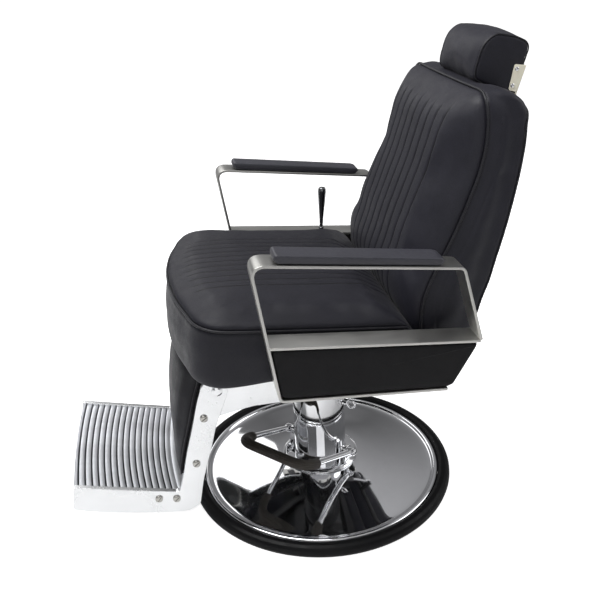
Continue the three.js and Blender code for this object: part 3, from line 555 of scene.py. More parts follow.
def make(name, verts, faces, sharp):
    mesh = bpy.data.meshes.new(name)
    mesh.from_pydata([tuple(v) for v in np.asarray(verts, float) * MM], [], faces)
    tidy(mesh, merge=1e-6)
    obj = add_object(name, mesh)
    shade(obj, sharp)
    return obj


def finish(obj, mat, body, slot, *nodes):
    """Gives a piece its material, its slot, the CAD nodes it replaces and its body."""
    obj.data.materials.clear()
    obj.data.materials.append(MAT[mat])
    if nodes:
        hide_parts(*nodes)
    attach(obj, body)


def evaluated_mesh(obj):
    bpy.context.view_layer.update()
    return bpy.data.meshes.new_from_object(
        obj.evaluated_get(bpy.context.evaluated_depsgraph_get())
    )


def apply_modifiers(obj):
    mesh = evaluated_mesh(obj)
    mesh.name = obj.name + "_mesh"
    obj.modifiers.clear()
    obj.data = mesh


def coords(obj):
    verts = obj.data.vertices
    flat = np.empty(len(verts) * 3, np.float32)
    verts.foreach_get("co", flat)
    return flat.reshape(-1, 3).astype(float) / MM


def set_coords(obj, co):
    obj.data.vertices.foreach_set("co", (np.asarray(co) * MM).astype(np.float32).ravel())
    obj.data.update()


def normals(obj):
    flat = np.empty(len(obj.data.vertices) * 3, np.float32)
    obj.data.vertex_normals.foreach_get("vector", flat)
    return flat.reshape(-1, 3).astype(float)


def push(obj, amount):
    """Moves each point along its normal."""
    set_coords(obj, coords(obj) + normals(obj) * amount[:, None])


def attribute(obj, name, values):
    layer = obj.data.attributes.new(name, "FLOAT", "POINT")
    layer.data.foreach_set("value", np.asarray(values, np.float32))


def join_objects(name, objs):
    """One object holding the others' meshes."""
    bm = bmesh.new()
    for o in objs:
        bm.from_mesh(o.data)
        bpy.data.objects.remove(o)
    obj = add_bmesh(name, bm)
    shade(obj)
    return obj


def turn(degrees, axis):
    return Matrix.Rotation(math.radians(degrees), 3, axis)


def place(obj, origin, rotation=None):
    """Moves the mesh data, not the object, by a rotation and then an offset."""
    matrix = Matrix.Translation(Vector(origin) * MM)
    if rotation is not None:
        matrix = matrix @ rotation.to_4x4()
    obj.data.transform(matrix)
    obj.data.update()


def plate(name, outline, span, holes=(), bevel=0.8, res=2):
    """A flat plate in the YZ plane over a span of x, with softened edges."""
    x0, x1 = span
    curve = bpy.data.curves.new(name, "CURVE")
    curve.dimensions = "2D"
    curve.fill_mode = "BOTH"
    for points in [outline, *holes]:
        loop = curve.splines.new("POLY")
        loop.points.add(len(points) - 1)
        for point, (y, z) in zip(loop.points, points):
            point.co = (y * MM, z * MM, 0, 1)
        loop.use_cyclic_u = True
    curve.extrude = ((x1 - x0) / 2 - bevel) * MM
    curve.bevel_depth = bevel * MM
    curve.bevel_resolution = res
    curve.offset = -bevel * MM
    curve_obj = add_object(name + "_tmp", curve)
    mesh = evaluated_mesh(curve_obj)
    bpy.data.objects.remove(curve_obj)
    middle = (x0 + x1) / 2 * MM
    mesh.transform(Matrix(((0, 0, 1, middle), (1, 0, 0, 0), (0, 1, 0, 0), (0, 0, 0, 1))))
    tidy(mesh, merge=2e-6)
    mesh.name = name
    obj = add_object(name, mesh)
    shade(obj, 30)
    return obj


def lathe(name, profile, segments=128, closed=True, sharp=30.0):
    """A turned piece round the Z axis; profile is (radius, height)."""
    verts, faces, rows = [], [], []
    n = segments
    for r, z in profile:
        if r < 1e-6:
            rows.append([len(verts)])
            verts.append((0, 0, z))
        else:
            rows.append(list(range(len(verts), len(verts) + n)))
            verts += [(x, y, z) for x, y in circle(0, 0, r, n)]
    for a, b in list(zip(rows, rows[1:])) + ([(rows[-1], rows[0])] if closed else []):
        for i in range(n):
            j = (i + 1) % n
            if len(a) == 1:
                faces.append((a[0], b[j], b[i]))
            elif len(b) == 1:
                faces.append((a[i], a[j], b[0]))
            else:
                faces.append((a[i], a[j], b[j], b[i]))
    return make(name, verts, faces, sharp)


def turned(name, corners, steps=4, segments=128, solid=False, default=0.0):
    """A lathe from (radius, height[, corner radius]); a solid's ends lie on the axis."""
    profile = rounded(corners, steps, default, closed=not solid)
    return lathe(name, profile, segments, closed=not solid)


def tube_quads(rings, sides, closed=False):
    faces = []
    for i in range(rings if closed else rings - 1):
        a, b = i * sides, ((i + 1) % rings) * sides
        for j in range(sides):
            k = (j + 1) % sides
            faces.append((a + j, a + k, b + k, b + j))
    return faces


def frames_along(path, closed):
    """Points, tangents and two cross directions that turn as little as possible."""
    p = np.asarray(path, float)
    tangent = (np.roll(p, -1, 0) - np.roll(p, 1, 0)) if closed else np.gradient(p, axis=0)
    tangent /= np.linalg.norm(tangent, axis=1)[:, None]
    up = np.array([0, 0, 1.0]) if abs(tangent[0][2]) < 0.9 else np.array([1.0, 0, 0])
    u = np.cross(tangent[0], up)
    us = [u / np.linalg.norm(u)]
    for t in tangent[1:]:
        u = us[-1] - (us[-1] @ t) * t
        us.append(u / np.linalg.norm(u))
    us = np.array(us)
    return p, tangent, us, np.cross(tangent, us)


def sweep(name, path, radius, sides, closed=False, profile=None, sharp=50.0):
    """A bar along a path. radius is a number or one per point; profile(angle) scales it."""
    p, tangent, us, vs = frames_along(path, closed)
    if closed:
        # spread the twist left at the seam over the whole loop
        end = us[-1] - (us[-1] @ tangent[0]) * tangent[0]
        end /= np.linalg.norm(end)
        twist = math.atan2(end @ vs[0], end @ us[0])
        share = np.linspace(0, -twist, len(p))
        c, s = np.cos(share)[:, None], np.sin(share)[:, None]
        us, vs = c * us + s * vs, -s * us + c * vs
    radius = np.broadcast_to(np.asarray(radius, float), (len(p),))
    angles = np.linspace(0, 2 * math.pi, sides, endpoint=False)
    shape = np.ones(sides) if profile is None else np.array([profile(a) for a in angles])
    across = np.cos(angles)[None, :, None] * us[:, None]
    across = across + np.sin(angles)[None, :, None] * vs[:, None]
    verts = p[:, None] + radius[:, None, None] * shape[None, :, None] * across
    faces = tube_quads(len(p), sides, closed)
    if not closed:
        faces.append(tuple(range(sides))[::-1])
        faces.append(tuple((len(p) - 1) * sides + j for j in range(sides)))
    return make(name, verts.reshape(-1, 3), faces, sharp)


def loft(name, rings):
    """A closed skin through rings of equal numbers of points."""
    n = len(rings[0])
    verts = np.vstack(rings).tolist()
    faces = tube_quads(len(rings), n)
    for i in (0, len(rings) - 1):
        middle = len(verts)
        verts.append(np.mean(rings[i], axis=0).tolist())
        for j in range(n):
            a, b = i * n + j, i * n + (j + 1) % n
            faces.append((middle, b, a) if i == 0 else (middle, a, b))
    return make(name, verts, faces, sharp=0.0)


# ------------------------------------------------------------------ soft pieces
CLOTH_FRAMES = 20


def relax(obj, values, times):
    """Moves each point's values halfway to its neighbours' mean, several times."""
    edges = np.empty(len(obj.data.edges) * 2, np.int32)
    obj.data.edges.foreach_get("vertices", edges)
    edges = edges.reshape(-1, 2)
    count = np.bincount(edges.ravel(), minlength=len(values)).clip(1)[:, None]
    for _ in range(times):
        total = np.zeros_like(values)
        np.add.at(total, edges[:, 0], values[edges[:, 1]])
        np.add.at(total, edges[:, 1], values[edges[:, 0]])
        values = values + (total / count - values) * 0.5
    return values


def smooth(obj, times=1):
    set_coords(obj, relax(obj, coords(obj), times))


def remesh(obj, size):
    modifier = obj.modifiers.new("remesh", "REMESH")
    modifier.mode = "VOXEL"
    modifier.voxel_size = size * MM
    apply_modifiers(obj)


def subdivide(obj):
    modifier = obj.modifiers.new("subsurf", "SUBSURF")
    modifier.levels = modifier.render_levels = 1
    apply_modifiers(obj)


def inflate(obj, cap, mask):
    """Cloth under pressure, each point's travel capped and scaled by mask(points)."""
    rest = coords(obj)
    cloth = obj.modifiers.new("Cloth", "CLOTH")
    settings = cloth.settings
    settings.quality = 4
    settings.use_pressure = True
    settings.uniform_pressure_force = 4.0
    settings.effector_weights.gravity = 0
    settings.tension_stiffness = settings.compression_stiffness = 15
    settings.bending_stiffness = 0.5
    cloth.collision_settings.use_collision = False
    cloth.point_cache.frame_start = 1
    cloth.point_cache.frame_end = CLOTH_FRAMES
    for f in range(1, CLOTH_FRAMES + 1):
        SCENE.frame_set(f)
    travel = coords(obj.evaluated_get(bpy.context.evaluated_depsgraph_get())) - rest
    obj.modifiers.remove(cloth)
    SCENE.frame_set(1)
    length = np.linalg.norm(travel, axis=1)
    travel *= np.minimum(1.0, cap / np.maximum(length, 1e-9))[:, None]
    travel = relax(obj, travel, 14)
    set_coords(obj, rest + travel * mask(rest)[:, None])


def distance_to_path(co, path, closed=False):
    """Distance of each point from a polyline, read off points 1 mm apart along it."""
    p = np.asarray(path, float)
    run = np.vstack([p, p[:1]]) if closed else p
    length = np.linalg.norm(np.diff(run, axis=0), axis=1).sum()
    p = resample(p, max(8, int(length / 1.0)), closed)
    tree = KDTree(len(p))
    for i, q in enumerate(p):
        tree.insert(q, i)
    tree.balance()
    return np.array([tree.find(c)[2] for c in co])


def snap(obj, path, lift=0.0):
    """The path moved onto the surface of obj, lifted along its normal."""
    bm = bmesh.new()
    bm.from_mesh(obj.data)
    tree = BVHTree.FromBMesh(bm)
    bm.free()
    result = []
    for q in path:
        location, normal, _, _ = tree.find_nearest(Vector(q) * MM)
        result.append(np.array(location) / MM + np.array(normal) * lift)
    return np.array(result)


def seam_groove(obj, path, depth, width, closed=False):
    distance = distance_to_path(coords(obj), path, closed)
    push(obj, -depth * np.exp(-((distance / width) ** 2)))


def piping(name, path, radius, sides, body, closed=False):
    finish(sweep(name, path, radius, sides, closed), "piping", body, "leather")


WAVES = np.random.default_rng(11)
WAVE_COUNT = 14


def ripple(co, length):
    """Smooth random relief, roughly in -1..1, from waves about length mm long."""
    total = np.zeros(len(co))
    for _ in range(WAVE_COUNT):
        k = WAVES.normal(size=3)
        k *= 2 * math.pi / length * WAVES.uniform(0.6, 1.5) / np.linalg.norm(k)
        total += np.sin(co @ k + WAVES.uniform(0, 2 * math.pi))
    return total / WAVE_COUNT * 1.8


def channel_relief(x, channels, depth, width, puff):
    """Grooves at the sewn seams, with the strips between them puffed up."""
    pitch, count = channels
    reach = channel_reach(channels)
    seams = -reach + pitch * np.arange(count)
    offset = np.abs(x[:, None] - seams[None, :]).min(1)
    crown = np.sin(np.clip(offset / (pitch / 2), 0, 1) * math.pi / 2) * (np.abs(x) < reach)
    return -depth * np.exp(-((offset / width) ** 2)) + puff * crown


# ================================================================== base
# Turned profiles are (radius, height[, corner radius])
FLOOR_RING = [
    (304.5, 0, 2), (322, 0, 3), (328, 3, 4), (330.4, 11, 4), (329.6, 20, 5), (326, 26.5, 6),
    (318.5, 30.6, 5), (309, 30.2, 4), (303, 26.5, 3), (300.9, 22.4, 1.0), (300.9, 4, 1.0),
]
DISH_TOP = [
    (94, 50.0), (120, 47.2), (160, 40.6), (205, 32.4), (245, 25.4), (268, 21.6), (280, 20.2),
]
DISH_RIM_AND_UNDERSIDE = [
    (284, 20.6), (286.4, 22.6), (288.4, 25.2), (291.5, 26.8), (295.6, 26.6), (298.6, 25.0),
    (300.3, 22.2), (300.4, 6), (297, 6), (297, 20), (280, 16), (245, 21.2), (180, 32.5),
    (100, 45.5),
]
FLANGE = [(42.5, 50.4), (95, 50.4), (95, 54), (88, 58.5), (66, 58.5), (42.5, 58.5)]
COLUMN_SLEEVE = [(61.4, 58.3, 0.8), (65, 58.3, 0.8), (65, 284.8, 1.6), (61.4, 284.8, 0.8)]
SLEEVE_COLLAR = [
    (60.8, 285.4, 0.5), (66.2, 285.4, 1), (66.2, 290, 2), (63.6, 293.4, 1.5), (60.8, 293.4, 1),
]
LIFT_SLEEVE = [
    (57.5, 100, 0.5), (60, 100, 0.5), (60, 318, 2), (25.8, 318, 0.5), (25.8, 314, 0.5),
    (57.5, 314, 0.5),
]
PUMP_RAM = [(0, 66), (25, 66, 1), (25, 351, 2), (0, 351)]
SWIVEL_HUB = [
    (0, 353), (25.5, 353, 0.5), (25.5, 322, 0.5), (40, 322, 2), (45, 331, 4), (45.5, 357, 3),
    (72, 360, 2), (72, 370, 2), (0, 370),
]

ring = turned("floor_ring_rubber", FLOOR_RING, steps=5, segments=160)
finish(ring, "rubber", "base", "rubber", "floor_ring")
dish_profile = [(36, 46), (36, 50), *map(tuple, spline(DISH_TOP, 28)), *DISH_RIM_AND_UNDERSIDE]
dish = lathe("base_dish_chrome", dish_profile, segments=192, sharp=50)
finish(dish, "dish", "base", "chrome", "base_dish")
flange = turned("pump_flange_cover", FLANGE, default=1.6)
finish(flange, "chrome", "base", "chrome", "pump_flange")
sleeve = turned("column_sleeve_chrome", COLUMN_SLEEVE)
finish(sleeve, "chrome", "base", "chrome", "column_sleeve")
collar = turned("sleeve_collar_ring", SLEEVE_COLLAR)
finish(collar, "nylon", "base", "nylon", "sleeve_collar")
lift = turned("lift_sleeve_chrome", LIFT_SLEEVE)
finish(lift, "chrome", "lift", "chrome", "lift_sleeve")
ram = turned("pump_ram_chrome", PUMP_RAM, segments=64, solid=True)
finish(ram, "chrome", "lift", "chrome", "pump_ram")
hub = turned("swivel_hub_cast", SWIVEL_HUB, segments=96, solid=True)
finish(hub, "steel", "seat", "frame_steel", "swivel_hub")

# ================================================================== pedal
# The pedal is drawn flat round its pivot, reaching to -Y, then tipped and turned.
PEDAL_TURN = turn(42.9, "Z")
PEDAL_POSE = PEDAL_TURN @ turn(-22, "X")
PEDAL_AT = (0, 0, 87)
PIN_HEAD_X = 102.8
PEDAL_HALF, PEDAL_REACH, PEDAL_CORNER = 96.5, 213, 44
BAR_RADIUS = 7.0
GRIP_RADIUS, GRIP_STEP = 12.1, 1.6
GRIP_END = 5.0  # length over which the grip's ends round off
# lug and eye outlines are (y, z, corner radius)
LUG = [(-17, -28.5, 1), (17, -28.5, 1), (13, -4, 10), (12.5, 13, 12), (-12.5, 13, 12), (-13, -4, 10)]
EYE = [(-20, -7.5, 4), (0, -11.5, 16), (11.5, 0, 16), (0, 11.5, 16), (-20, 7.5, 4)]
PIN_HEAD = [(0, 0), (9, 0, 0.8), (9.2, 2.6, 1.4), (5.4, 4.2, 1.2), (4.6, 5.2, 0.8), (0, 5.2)]
PIN_SHAFT = [(0, -29), (5, -29, 0.6), (5, 0.2, 0.2), (0, 0.2)]


def pedal_path(start_x, start_y, step):
    """A U from one arm of the pedal round to the other."""
    corners = [(start_x, start_y, 0), (PEDAL_HALF, -PEDAL_REACH, 0)]
    return round_path(corners + mirror(corners), PEDAL_CORNER, step)


for side, where in ((1, "near"), (-1, "far")):
    lug = plate(
        f"pedal_lug_{where}_ear", rounded(LUG), x_span(side, 73, 86), [circle(0, 0, 5.4)],
        bevel=1.8, res=3,
    )
    place(lug, PEDAL_AT, PEDAL_TURN)
    finish(lug, "chrome", "base", "chrome", f"pedal_lug_{where}")
    head = turned("pin_head_part", PIN_HEAD, segments=48, solid=True)
    shaft = turned("pin_shaft_part", PIN_SHAFT, steps=3, segments=32, solid=True)
    for part in (head, shaft):
        place(part, (side * PIN_HEAD_X, 0, 0), turn(90 * side, "Y"))
    pin = join_objects(f"pedal_pin_{where}_bolt", [head, shaft])
    place(pin, PEDAL_AT, PEDAL_POSE)
    finish(pin, "chrome", "pedal", "chrome", f"pedal_pin_{where}")

parts = [sweep("pedal_bar_part", pedal_path(95.5, -6, 3.0), BAR_RADIUS, 28)]
for side in (1, -1):
    parts.append(
        plate(
            "pedal_eye_part", rounded(EYE, 10), x_span(side, 89, 101), [circle(0, 0, 5.3)],
            bevel=1.6, res=3,
        )
    )
pedal = join_objects("pedal_bar_chrome", parts)
place(pedal, PEDAL_AT, PEDAL_POSE)
finish(pedal, "chrome", "pedal", "chrome", "pedal_bar")

grip_path = pedal_path(96.3, -158, GRIP_STEP)
run = np.linspace(0, 1, len(grip_path)) * len(grip_path) * GRIP_STEP
from_end = np.clip(np.minimum(run, run[-1] - run) / GRIP_END, 0, 1)
grip = sweep(
    "pedal_grip_rubber",
    grip_path,
    GRIP_RADIUS * (0.90 + 0.10 * np.sqrt(np.clip(1 - (1 - from_end) ** 2, 0, 1))),
    144,
    profile=lambda a: 1.0 - 0.10 * (0.5 + 0.5 * math.cos(16 * a)) ** 1.5,  # 16 flutes
    sharp=60,
)
place(grip, PEDAL_AT, PEDAL_POSE)
finish(grip, "grip", "pedal", "grip_rubber", "pedal_grip")

# ================================================================== swivel lock
# a ring on a stem that stands out from the column
LOOP_CENTRE_Y, LOOP_RADIUS = 87, 10
STEM_RADII = [6.4, 6.2, 5.2, 4.9, 4.9, 4.9, 4.6, 3.8]
angles = np.linspace(0, 2 * math.pi, 48, endpoint=False)
loop_path = [
    (0, LOOP_CENTRE_Y + LOOP_RADIUS * math.cos(a), LOOP_RADIUS * math.sin(a)) for a in angles
]
loop = sweep("lock_loop_part", loop_path, 2.8, 20, closed=True)
stem_path = resample([(0, 65.4, 0), (0, LOOP_CENTRE_Y - 9.6, 0)], len(STEM_RADII), closed=False)
stem = sweep("lock_stem_part", stem_path, STEM_RADII, 28)
lock = join_objects("swivel_lock_ring", [loop, stem])
place(lock, (0, 0, 215), turn(-37, "Z"))
finish(lock, "chrome", "swivel_lock", "chrome", "swivel_lock_loop")

# ================================================================== footrest frame
# front edge of the struts, (z, y)
STRUT_FRONT = [(177, -349), (230, -337), (294, -319), (361, -302), (397, -290), (430, -286)]
# (y, z) of the pivots
FOOT_PIVOT, RECLINE_PIVOT = (-257, 384), (215, 435)
# cross rods: (y, z), radius, angle of the screwdriver slot in degrees
CROSS_RODS = {
    "tie_rod_upper": ((-291, 319), 5, 35),
    "tie_rod_lower": ((-318, 203), 5, 38),
    "plate_rod_front": ((-410, 122), 4, 52),
    "plate_rod_rear": ((-371, 115), 4, 44),
}
# side outline of a strut, (y, z[, corner radius])
STRUT = [
    (-290, 397, 12), (-280, 411, 14), (-240, 411, 14), (-231, 385), (-251, 333), (-267, 293),
    (-277, 252), (-292, 203), (-306, 155), (-319, 88, 16), (-346, 74, 14), (-377, 76),
    (-456, 90), (-552, 111), (-598, 127, 6), (-589, 187, 4), (-542, 175), (-448, 152),
    (-362, 132, 12), *[(y, z) for z, y in STRUT_FRONT[:4]],
]


def strut_front_y(z):
    return np.interp(z, [row[0] for row in STRUT_FRONT], [row[1] for row in STRUT_FRONT])


def cut_slot(head, centre, size, spin):
    """Cuts a box turned about X by spin radians out of a screw head."""
    bm = bmesh.new()
    bmesh.ops.create_cube(bm, size=1.0)
    cutter = add_bmesh("cutter", bm)
    cutter.data.transform(
        Matrix.Translation(Vector(centre) * MM)
        @ Matrix.Rotation(spin, 4, "X")
        @ Matrix.Diagonal((size[0] * MM, size[1] * MM, size[2] * MM, 1))
    )
    modifier = head.modifiers.new("cut", "BOOLEAN")
    modifier.operation = "DIFFERENCE"
    modifier.solver = "EXACT"
    modifier.object = cutter
    apply_modifiers(head)
    bpy.data.objects.remove(cutter)
    shade(head, 30)


def cross_bolt(name, at, span, radius, head_radius, height, dome=0.5, slot=0, spin=0.0,
               ends=(1, -1)):
    """A rod along X at (y, z) with domed round heads, slotted where slot gives a width."""
    corners = [(0, span[0]), (radius, span[0], 0.4), (radius, span[1], 0.4), (0, span[1])]
    shaft = turned("bolt_shaft_part", corners, steps=3, segments=32, solid=True)
    place(shaft, (0, *at), turn(90, "Y"))
    parts = [shaft]
    corners = [
        (0, 0), (head_radius, 0, 0.3), (head_radius, height * 0.75, 1.0),
        (head_radius * 0.6, height + dome * 0.7, 2), (0, height + dome),
    ]
    for side in ends:
        end_x = span[1] if side > 0 else span[0]
        head = turned("bolt_head_part", corners, segments=56, solid=True)
        place(head, (end_x - side * 0.6, *at), turn(90 * side, "Y"))
        if slot:
            centre = (end_x + side * (height + 1.2), *at)
            cut_slot(head, centre, (6.8, 2.4 * head_radius, slot), spin)
        parts.append(head)
    return join_objects(name, parts)


strut_holes = [circle(*FOOT_PIVOT, 7.2)]
strut_holes += [circle(*at, radius + 0.3) for at, radius, _ in CROSS_RODS.values()]
for side, where in SIDES:
    strut = plate(
        f"footrest_strut_{where}_cast", rounded(STRUT, default=400), x_span(side, 168, 180),
        strut_holes, bevel=1.5, res=3,
    )
    finish(strut, "aluminium", "footrest", "aluminium", f"footrest_strut_{where}")

for name, (at, radius, slot_angle) in CROSS_RODS.items():
    rod = cross_bolt(
        f"{name}_slotted", at, (-181, 181), radius, head_radius=8.5, height=3.4, slot=3.0,
        spin=math.radians(slot_angle),
    )
    finish(rod, "screw", "footrest", "brushed_bar", name)
for side, where in SIDES:
    bolt = cross_bolt(
        f"footrest_bolt_{where}_domed", FOOT_PIVOT, x_span(side, 160.5, 181.0), 7,
        head_radius=11.5, height=4.4, dome=1.4, ends=(side,),
    )
    finish(bolt, "chrome", "seat", "chrome", f"footrest_bolt_{where}")
    pin = cross_bolt(
        f"recline_pin_{where}_domed", RECLINE_PIVOT, x_span(side, 147, 167), 8,
        head_radius=13, height=4.2, dome=1.2, ends=(side,),
    )
    finish(pin, "chrome", "seat", "chrome", f"recline_pin_{where}")

# ================================================================== foot plate
FOOT_SLOPE = 0.2345
RIB_PITCH = 14.0
GROOVE_DEPTH, GROOVE_WIDTH, CREST = 5.0, 1.3, 0.8
# smooth band behind the ribs: (y, drop below the sloping plane)
FOOT_BAND = [
    (-373.2, -373, 4.0), (-371, -371, 3.2), (-362, -362, 3.0), (-356, -356, 3.4),
    (-354, -354, 5.0), (-354.6, -354, 8.6), (-362, -362, 9.2), (-480, -480, 9.4),
    (-570, -570, 9.6), (-581, -581, 12),
]
# apron hanging at the front edge, (y, z)
FOOT_APRON = [
    (-586, 160), (-590.4, 136), (-592.4, 133.2), (-595.4, 133.0), (-597.6, 135.2),
    (-593.8, 168), (-591.4, 177.5), (-589.0, 179.6),
]


def foot_z(y):
    return 180 - FOOT_SLOPE * (y + 588)


def foot_bow(x, y):
    """How far the ribs curve back towards the sides."""
    return np.interp(y, [-598, -560, -470, -354], [5.0, 8.5, 11.0, 12.0]) * (x / 168.0) ** 2


def foot_plate():
    """Ribs that bow forward in the middle, a smooth band behind, an apron in front."""
    section = []
    for y in np.arange(-586.0, -374.0, 0.7):
        phase = (y + 584 - 0.6) % RIB_PITCH
        to_groove = min(phase, RIB_PITCH - phase)
        groove = -GROOVE_DEPTH * math.exp(-((to_groove / GROOVE_WIDTH) ** 4))
        crest = CREST * math.cos(math.pi * (phase - RIB_PITCH / 2) / RIB_PITCH) - CREST
        section.append((y, foot_z(y) - 0.2 + groove + crest))
    section += [(y, foot_z(level_y) - drop) for y, level_y, drop in FOOT_BAND]
    section = np.array(section + FOOT_APRON)
    columns = []
    for x in np.linspace(-167.5, 167.5, 61):
        y = section[:, 0] - 3.0 + foot_bow(x, section[:, 0])
        columns.append(at_x(x, np.stack([y, section[:, 1]], 1)))
    n = len(section)
    faces = tube_quads(len(columns), n)
    faces.append(tuple(range(n)))
    faces.append(tuple((len(columns) - 1) * n + j for j in range(n))[::-1])
    foot = make("foot_plate_ribbed", np.vstack(columns), faces, 42)
    # the attribute below marks the grooves, where the material darkens the colour as painted shade
    co = coords(foot)
    y = co[:, 1] + 3.0 - foot_bow(co[:, 0], co[:, 1])
    rib_groove_shade = (foot_z(y) - co[:, 2] - 3.0) / 2.0
    in_ribs = (y > -585) & (y < -374) & (co[:, 2] > foot_z(y) - 8.0)
    attribute(foot, "rib_groove_shade", np.clip(rib_groove_shade, 0, 1) * in_ribs)
    finish(foot, "ribs", "footrest", "aluminium", "foot_plate")


foot_plate()

# ================================================================== calf pad
CALF_HALF = 158
# (z, fullness of the pad in front of the struts)
CALF_FULLNESS = [
    (160, 1), (166, 5), (180, 8), (230, 16), (294, 28), (361, 35), (397, 37), (414, 31),
    (425, 18), (431, 3),
]
CALF_LEVELS = [
    160, 162, 166, 172, 180, 195, 212, 230, 250, 272, 294, 316, 338, 361, 380, 397, 408, 416,
    422, 427, 431,
]


def calf_mask(p):
    """Free at the front, held at the back and sides, tighter low down."""
    front = ease(strut_front_y(p[:, 2]) - 6 - p[:, 1], 0, 18)
    inside = ease(CALF_HALF - np.abs(p[:, 0]), 0, 30)
    return front * inside * (0.25 + 0.75 * ease(p[:, 2], 200, 290))


def calf_pad():
    rows = smooth_table(CALF_FULLNESS, CALF_LEVELS)
    rings = []
    for x in np.concatenate([[-158, -157, -153], np.linspace(-146, 146, 25), [153, 157, 158]]):
        u = abs(x) / CALF_HALF
        share = (1 - u**3.2) ** 0.62 if u < 1 else 0.0
        front = [(x, strut_front_y(z) - 7 - share * full, z) for z, full in rows]
        rear = [(x, strut_front_y(z) + 2.6, z) for z, _ in rows[::-1]]
        rings.append(np.array(front + rear))
    calf = loft("calf_pad_leather", rings)
    remesh(calf, 5.0)
    smooth(calf, 2)
    inflate(calf, 7, calf_mask)
    subdivide(calf)
    # seam round the front edge
    side_z = np.linspace(164, 427, 40)
    across = np.linspace(150, -150, 40)
    edge = [(157.5, strut_front_y(z) - 6, z) for z in side_z]
    edge += [(x, strut_front_y(429) - 6, 430.5) for x in across]
    edge += [(-157.5, strut_front_y(z) - 6, z) for z in side_z[::-1]]
    edge += [(x, strut_front_y(161) - 6, 160.5) for x in -across]
    edge = snap(calf, spline(edge, 220, closed=True), 0.6)
    seam_groove(calf, edge, depth=2.0, width=4.0, closed=True)
    co = coords(calf)
    front = ease(-6 + strut_front_y(co[:, 2]) - co[:, 1], 0, 15)
    push(calf, 0.7 * ripple(co * [1, 1, 0.6], 70) * front)
    shade(calf, 0)
    finish(calf, "calf_leather", "footrest", "leather", "calf_pad")
    piping("calf_pad_piping", edge, 2.2, 10, "footrest", closed=True)


calf_pad()

# ================================================================== seat frame
# The seat is drawn level and tilted about X, its origin at height SEAT_Z.
SEAT_Z = 430
TILT = math.radians(6)
COS_TILT, SIN_TILT = math.cos(TILT), math.sin(TILT)


def tilt(p):
    """The seat's own coordinates to the chair's."""
    x, y, z = p[..., 0], p[..., 1], p[..., 2]
    return np.stack(
        [x, y * COS_TILT + z * SIN_TILT, SEAT_Z - y * SIN_TILT + z * COS_TILT], -1
    )


def untilt(p):
    y, z = p[..., 1], p[..., 2] - SEAT_Z
    return np.stack([p[..., 0], y * COS_TILT - z * SIN_TILT, y * SIN_TILT + z * COS_TILT], -1)


def under_seat_z(y):
    """Top edge of the side plates, 15 below the seat's origin plane."""
    return SEAT_Z + (-15 - y * SIN_TILT) / COS_TILT


# side outline of the frame, (y, z, corner radius)
FRAME_SIDE = [
    (-268, under_seat_z(-268), 2), (182, under_seat_z(182), 8), (192, 436, 10), (203, 457, 14),
    (228, 457, 14), (240, 433, 14), (228, 402, 30), (196, 372, 40), (130, 340, 80),
    (50, 325, 80), (-150, 324, 30), (-179, 324, 30), (-212, 319, 30), (-262, 309, 9),
    (-276, 372, 60), (-276, 430, 8),
]
for side, where in SIDES:
    cover = plate(
        f"frame_side_plate_{where}_cover", rounded(FRAME_SIDE), x_span(side, 160, 166),
        [circle(*FOOT_PIVOT, 7.4), circle(*RECLINE_PIVOT, 8.4)], bevel=1.0,
    )
    finish(cover, "aluminium", "seat", "aluminium", f"frame_side_plate_{where}")

# ================================================================== recline lever
LEVER_X, LEVER_Y, LEVER_Z, LEVER_TOP = -282.5, 70, 385, 666
# (z, radius) of the turned handle
HANDLE = [
    (552.8, 6.2), (553.4, 7), (556.4, 7), (557.4, 6.2), (558.2, 4.6), (566, 4.7), (578, 5.2),
    (590, 6), (604, 7.1), (618, 8.2), (630, 9), (642, 9.9), (652, 10.4), (658, 10.1),
    (662, 9.0), (664.6, 7.2), (666, 4.6), (666.4, 0.6),
]


def lever_y(z):
    """The lever leans back by 13 over its height."""
    return LEVER_Y + 13 * (z - LEVER_Z) / (LEVER_TOP - LEVER_Z)


corners = [(-167, LEVER_Y, LEVER_Z), (LEVER_X, LEVER_Y, LEVER_Z), (LEVER_X, lever_y(556), 556)]
rod = sweep("lever_rod_part", round_path(corners, 24, 3.0), 3.5, 20)
boss = turned(
    "lever_boss_part", [(0, 0), (9, 0, 0.6), (9, 8.4, 1.4), (0, 8.4)], segments=48, solid=True
)
place(boss, (-175, LEVER_Y, LEVER_Z), turn(90, "Y"))
lever = join_objects("recline_lever_rod_bent", [rod, boss])
finish(lever, "chrome", "recline_lever", "chrome", "recline_lever_rod")
stations = np.concatenate([[z for z, _ in HANDLE[:5]], np.linspace(559, 666.4, 60)])
dense = smooth_table(HANDLE, stations)
handle_path = [(LEVER_X, lever_y(z), z) for z in dense[:, 0]]
handle = sweep("recline_lever_handle_turned", handle_path, dense[:, 1], 40)
# the handle's chrome is darkened as painted reflection
finish(handle, "lever", "recline_lever", "chrome", "recline_lever_handle")

# ================================================================== arms
ARM_THICK = 5.5
# outlines in (y, z[, corner radius]): flat bar loop, bar across it, upholstered board
ARM_BAR = [(268, 522, 10), (223, 683, 18), (-188, 735, 26), (-145.8, 438.2, 15), (199, 414.07)]
ARM_CROSS = [(-161.6, 562.9), (264.0, 521.0), (263.6, 515.6), (-160.8, 557.4)]
SIDE_PANEL = [
    (-156.3, 556.4, 9), (263.0, 515.1, 9), (212.6, 424.6, 9), (200, 420.2, 9),
    (-130, 443.5, 9), (-141.4, 450, 9),
]
PANEL_EDGE, PANEL_CROWN = 7.0, 1.2
PAD_X = 315.5
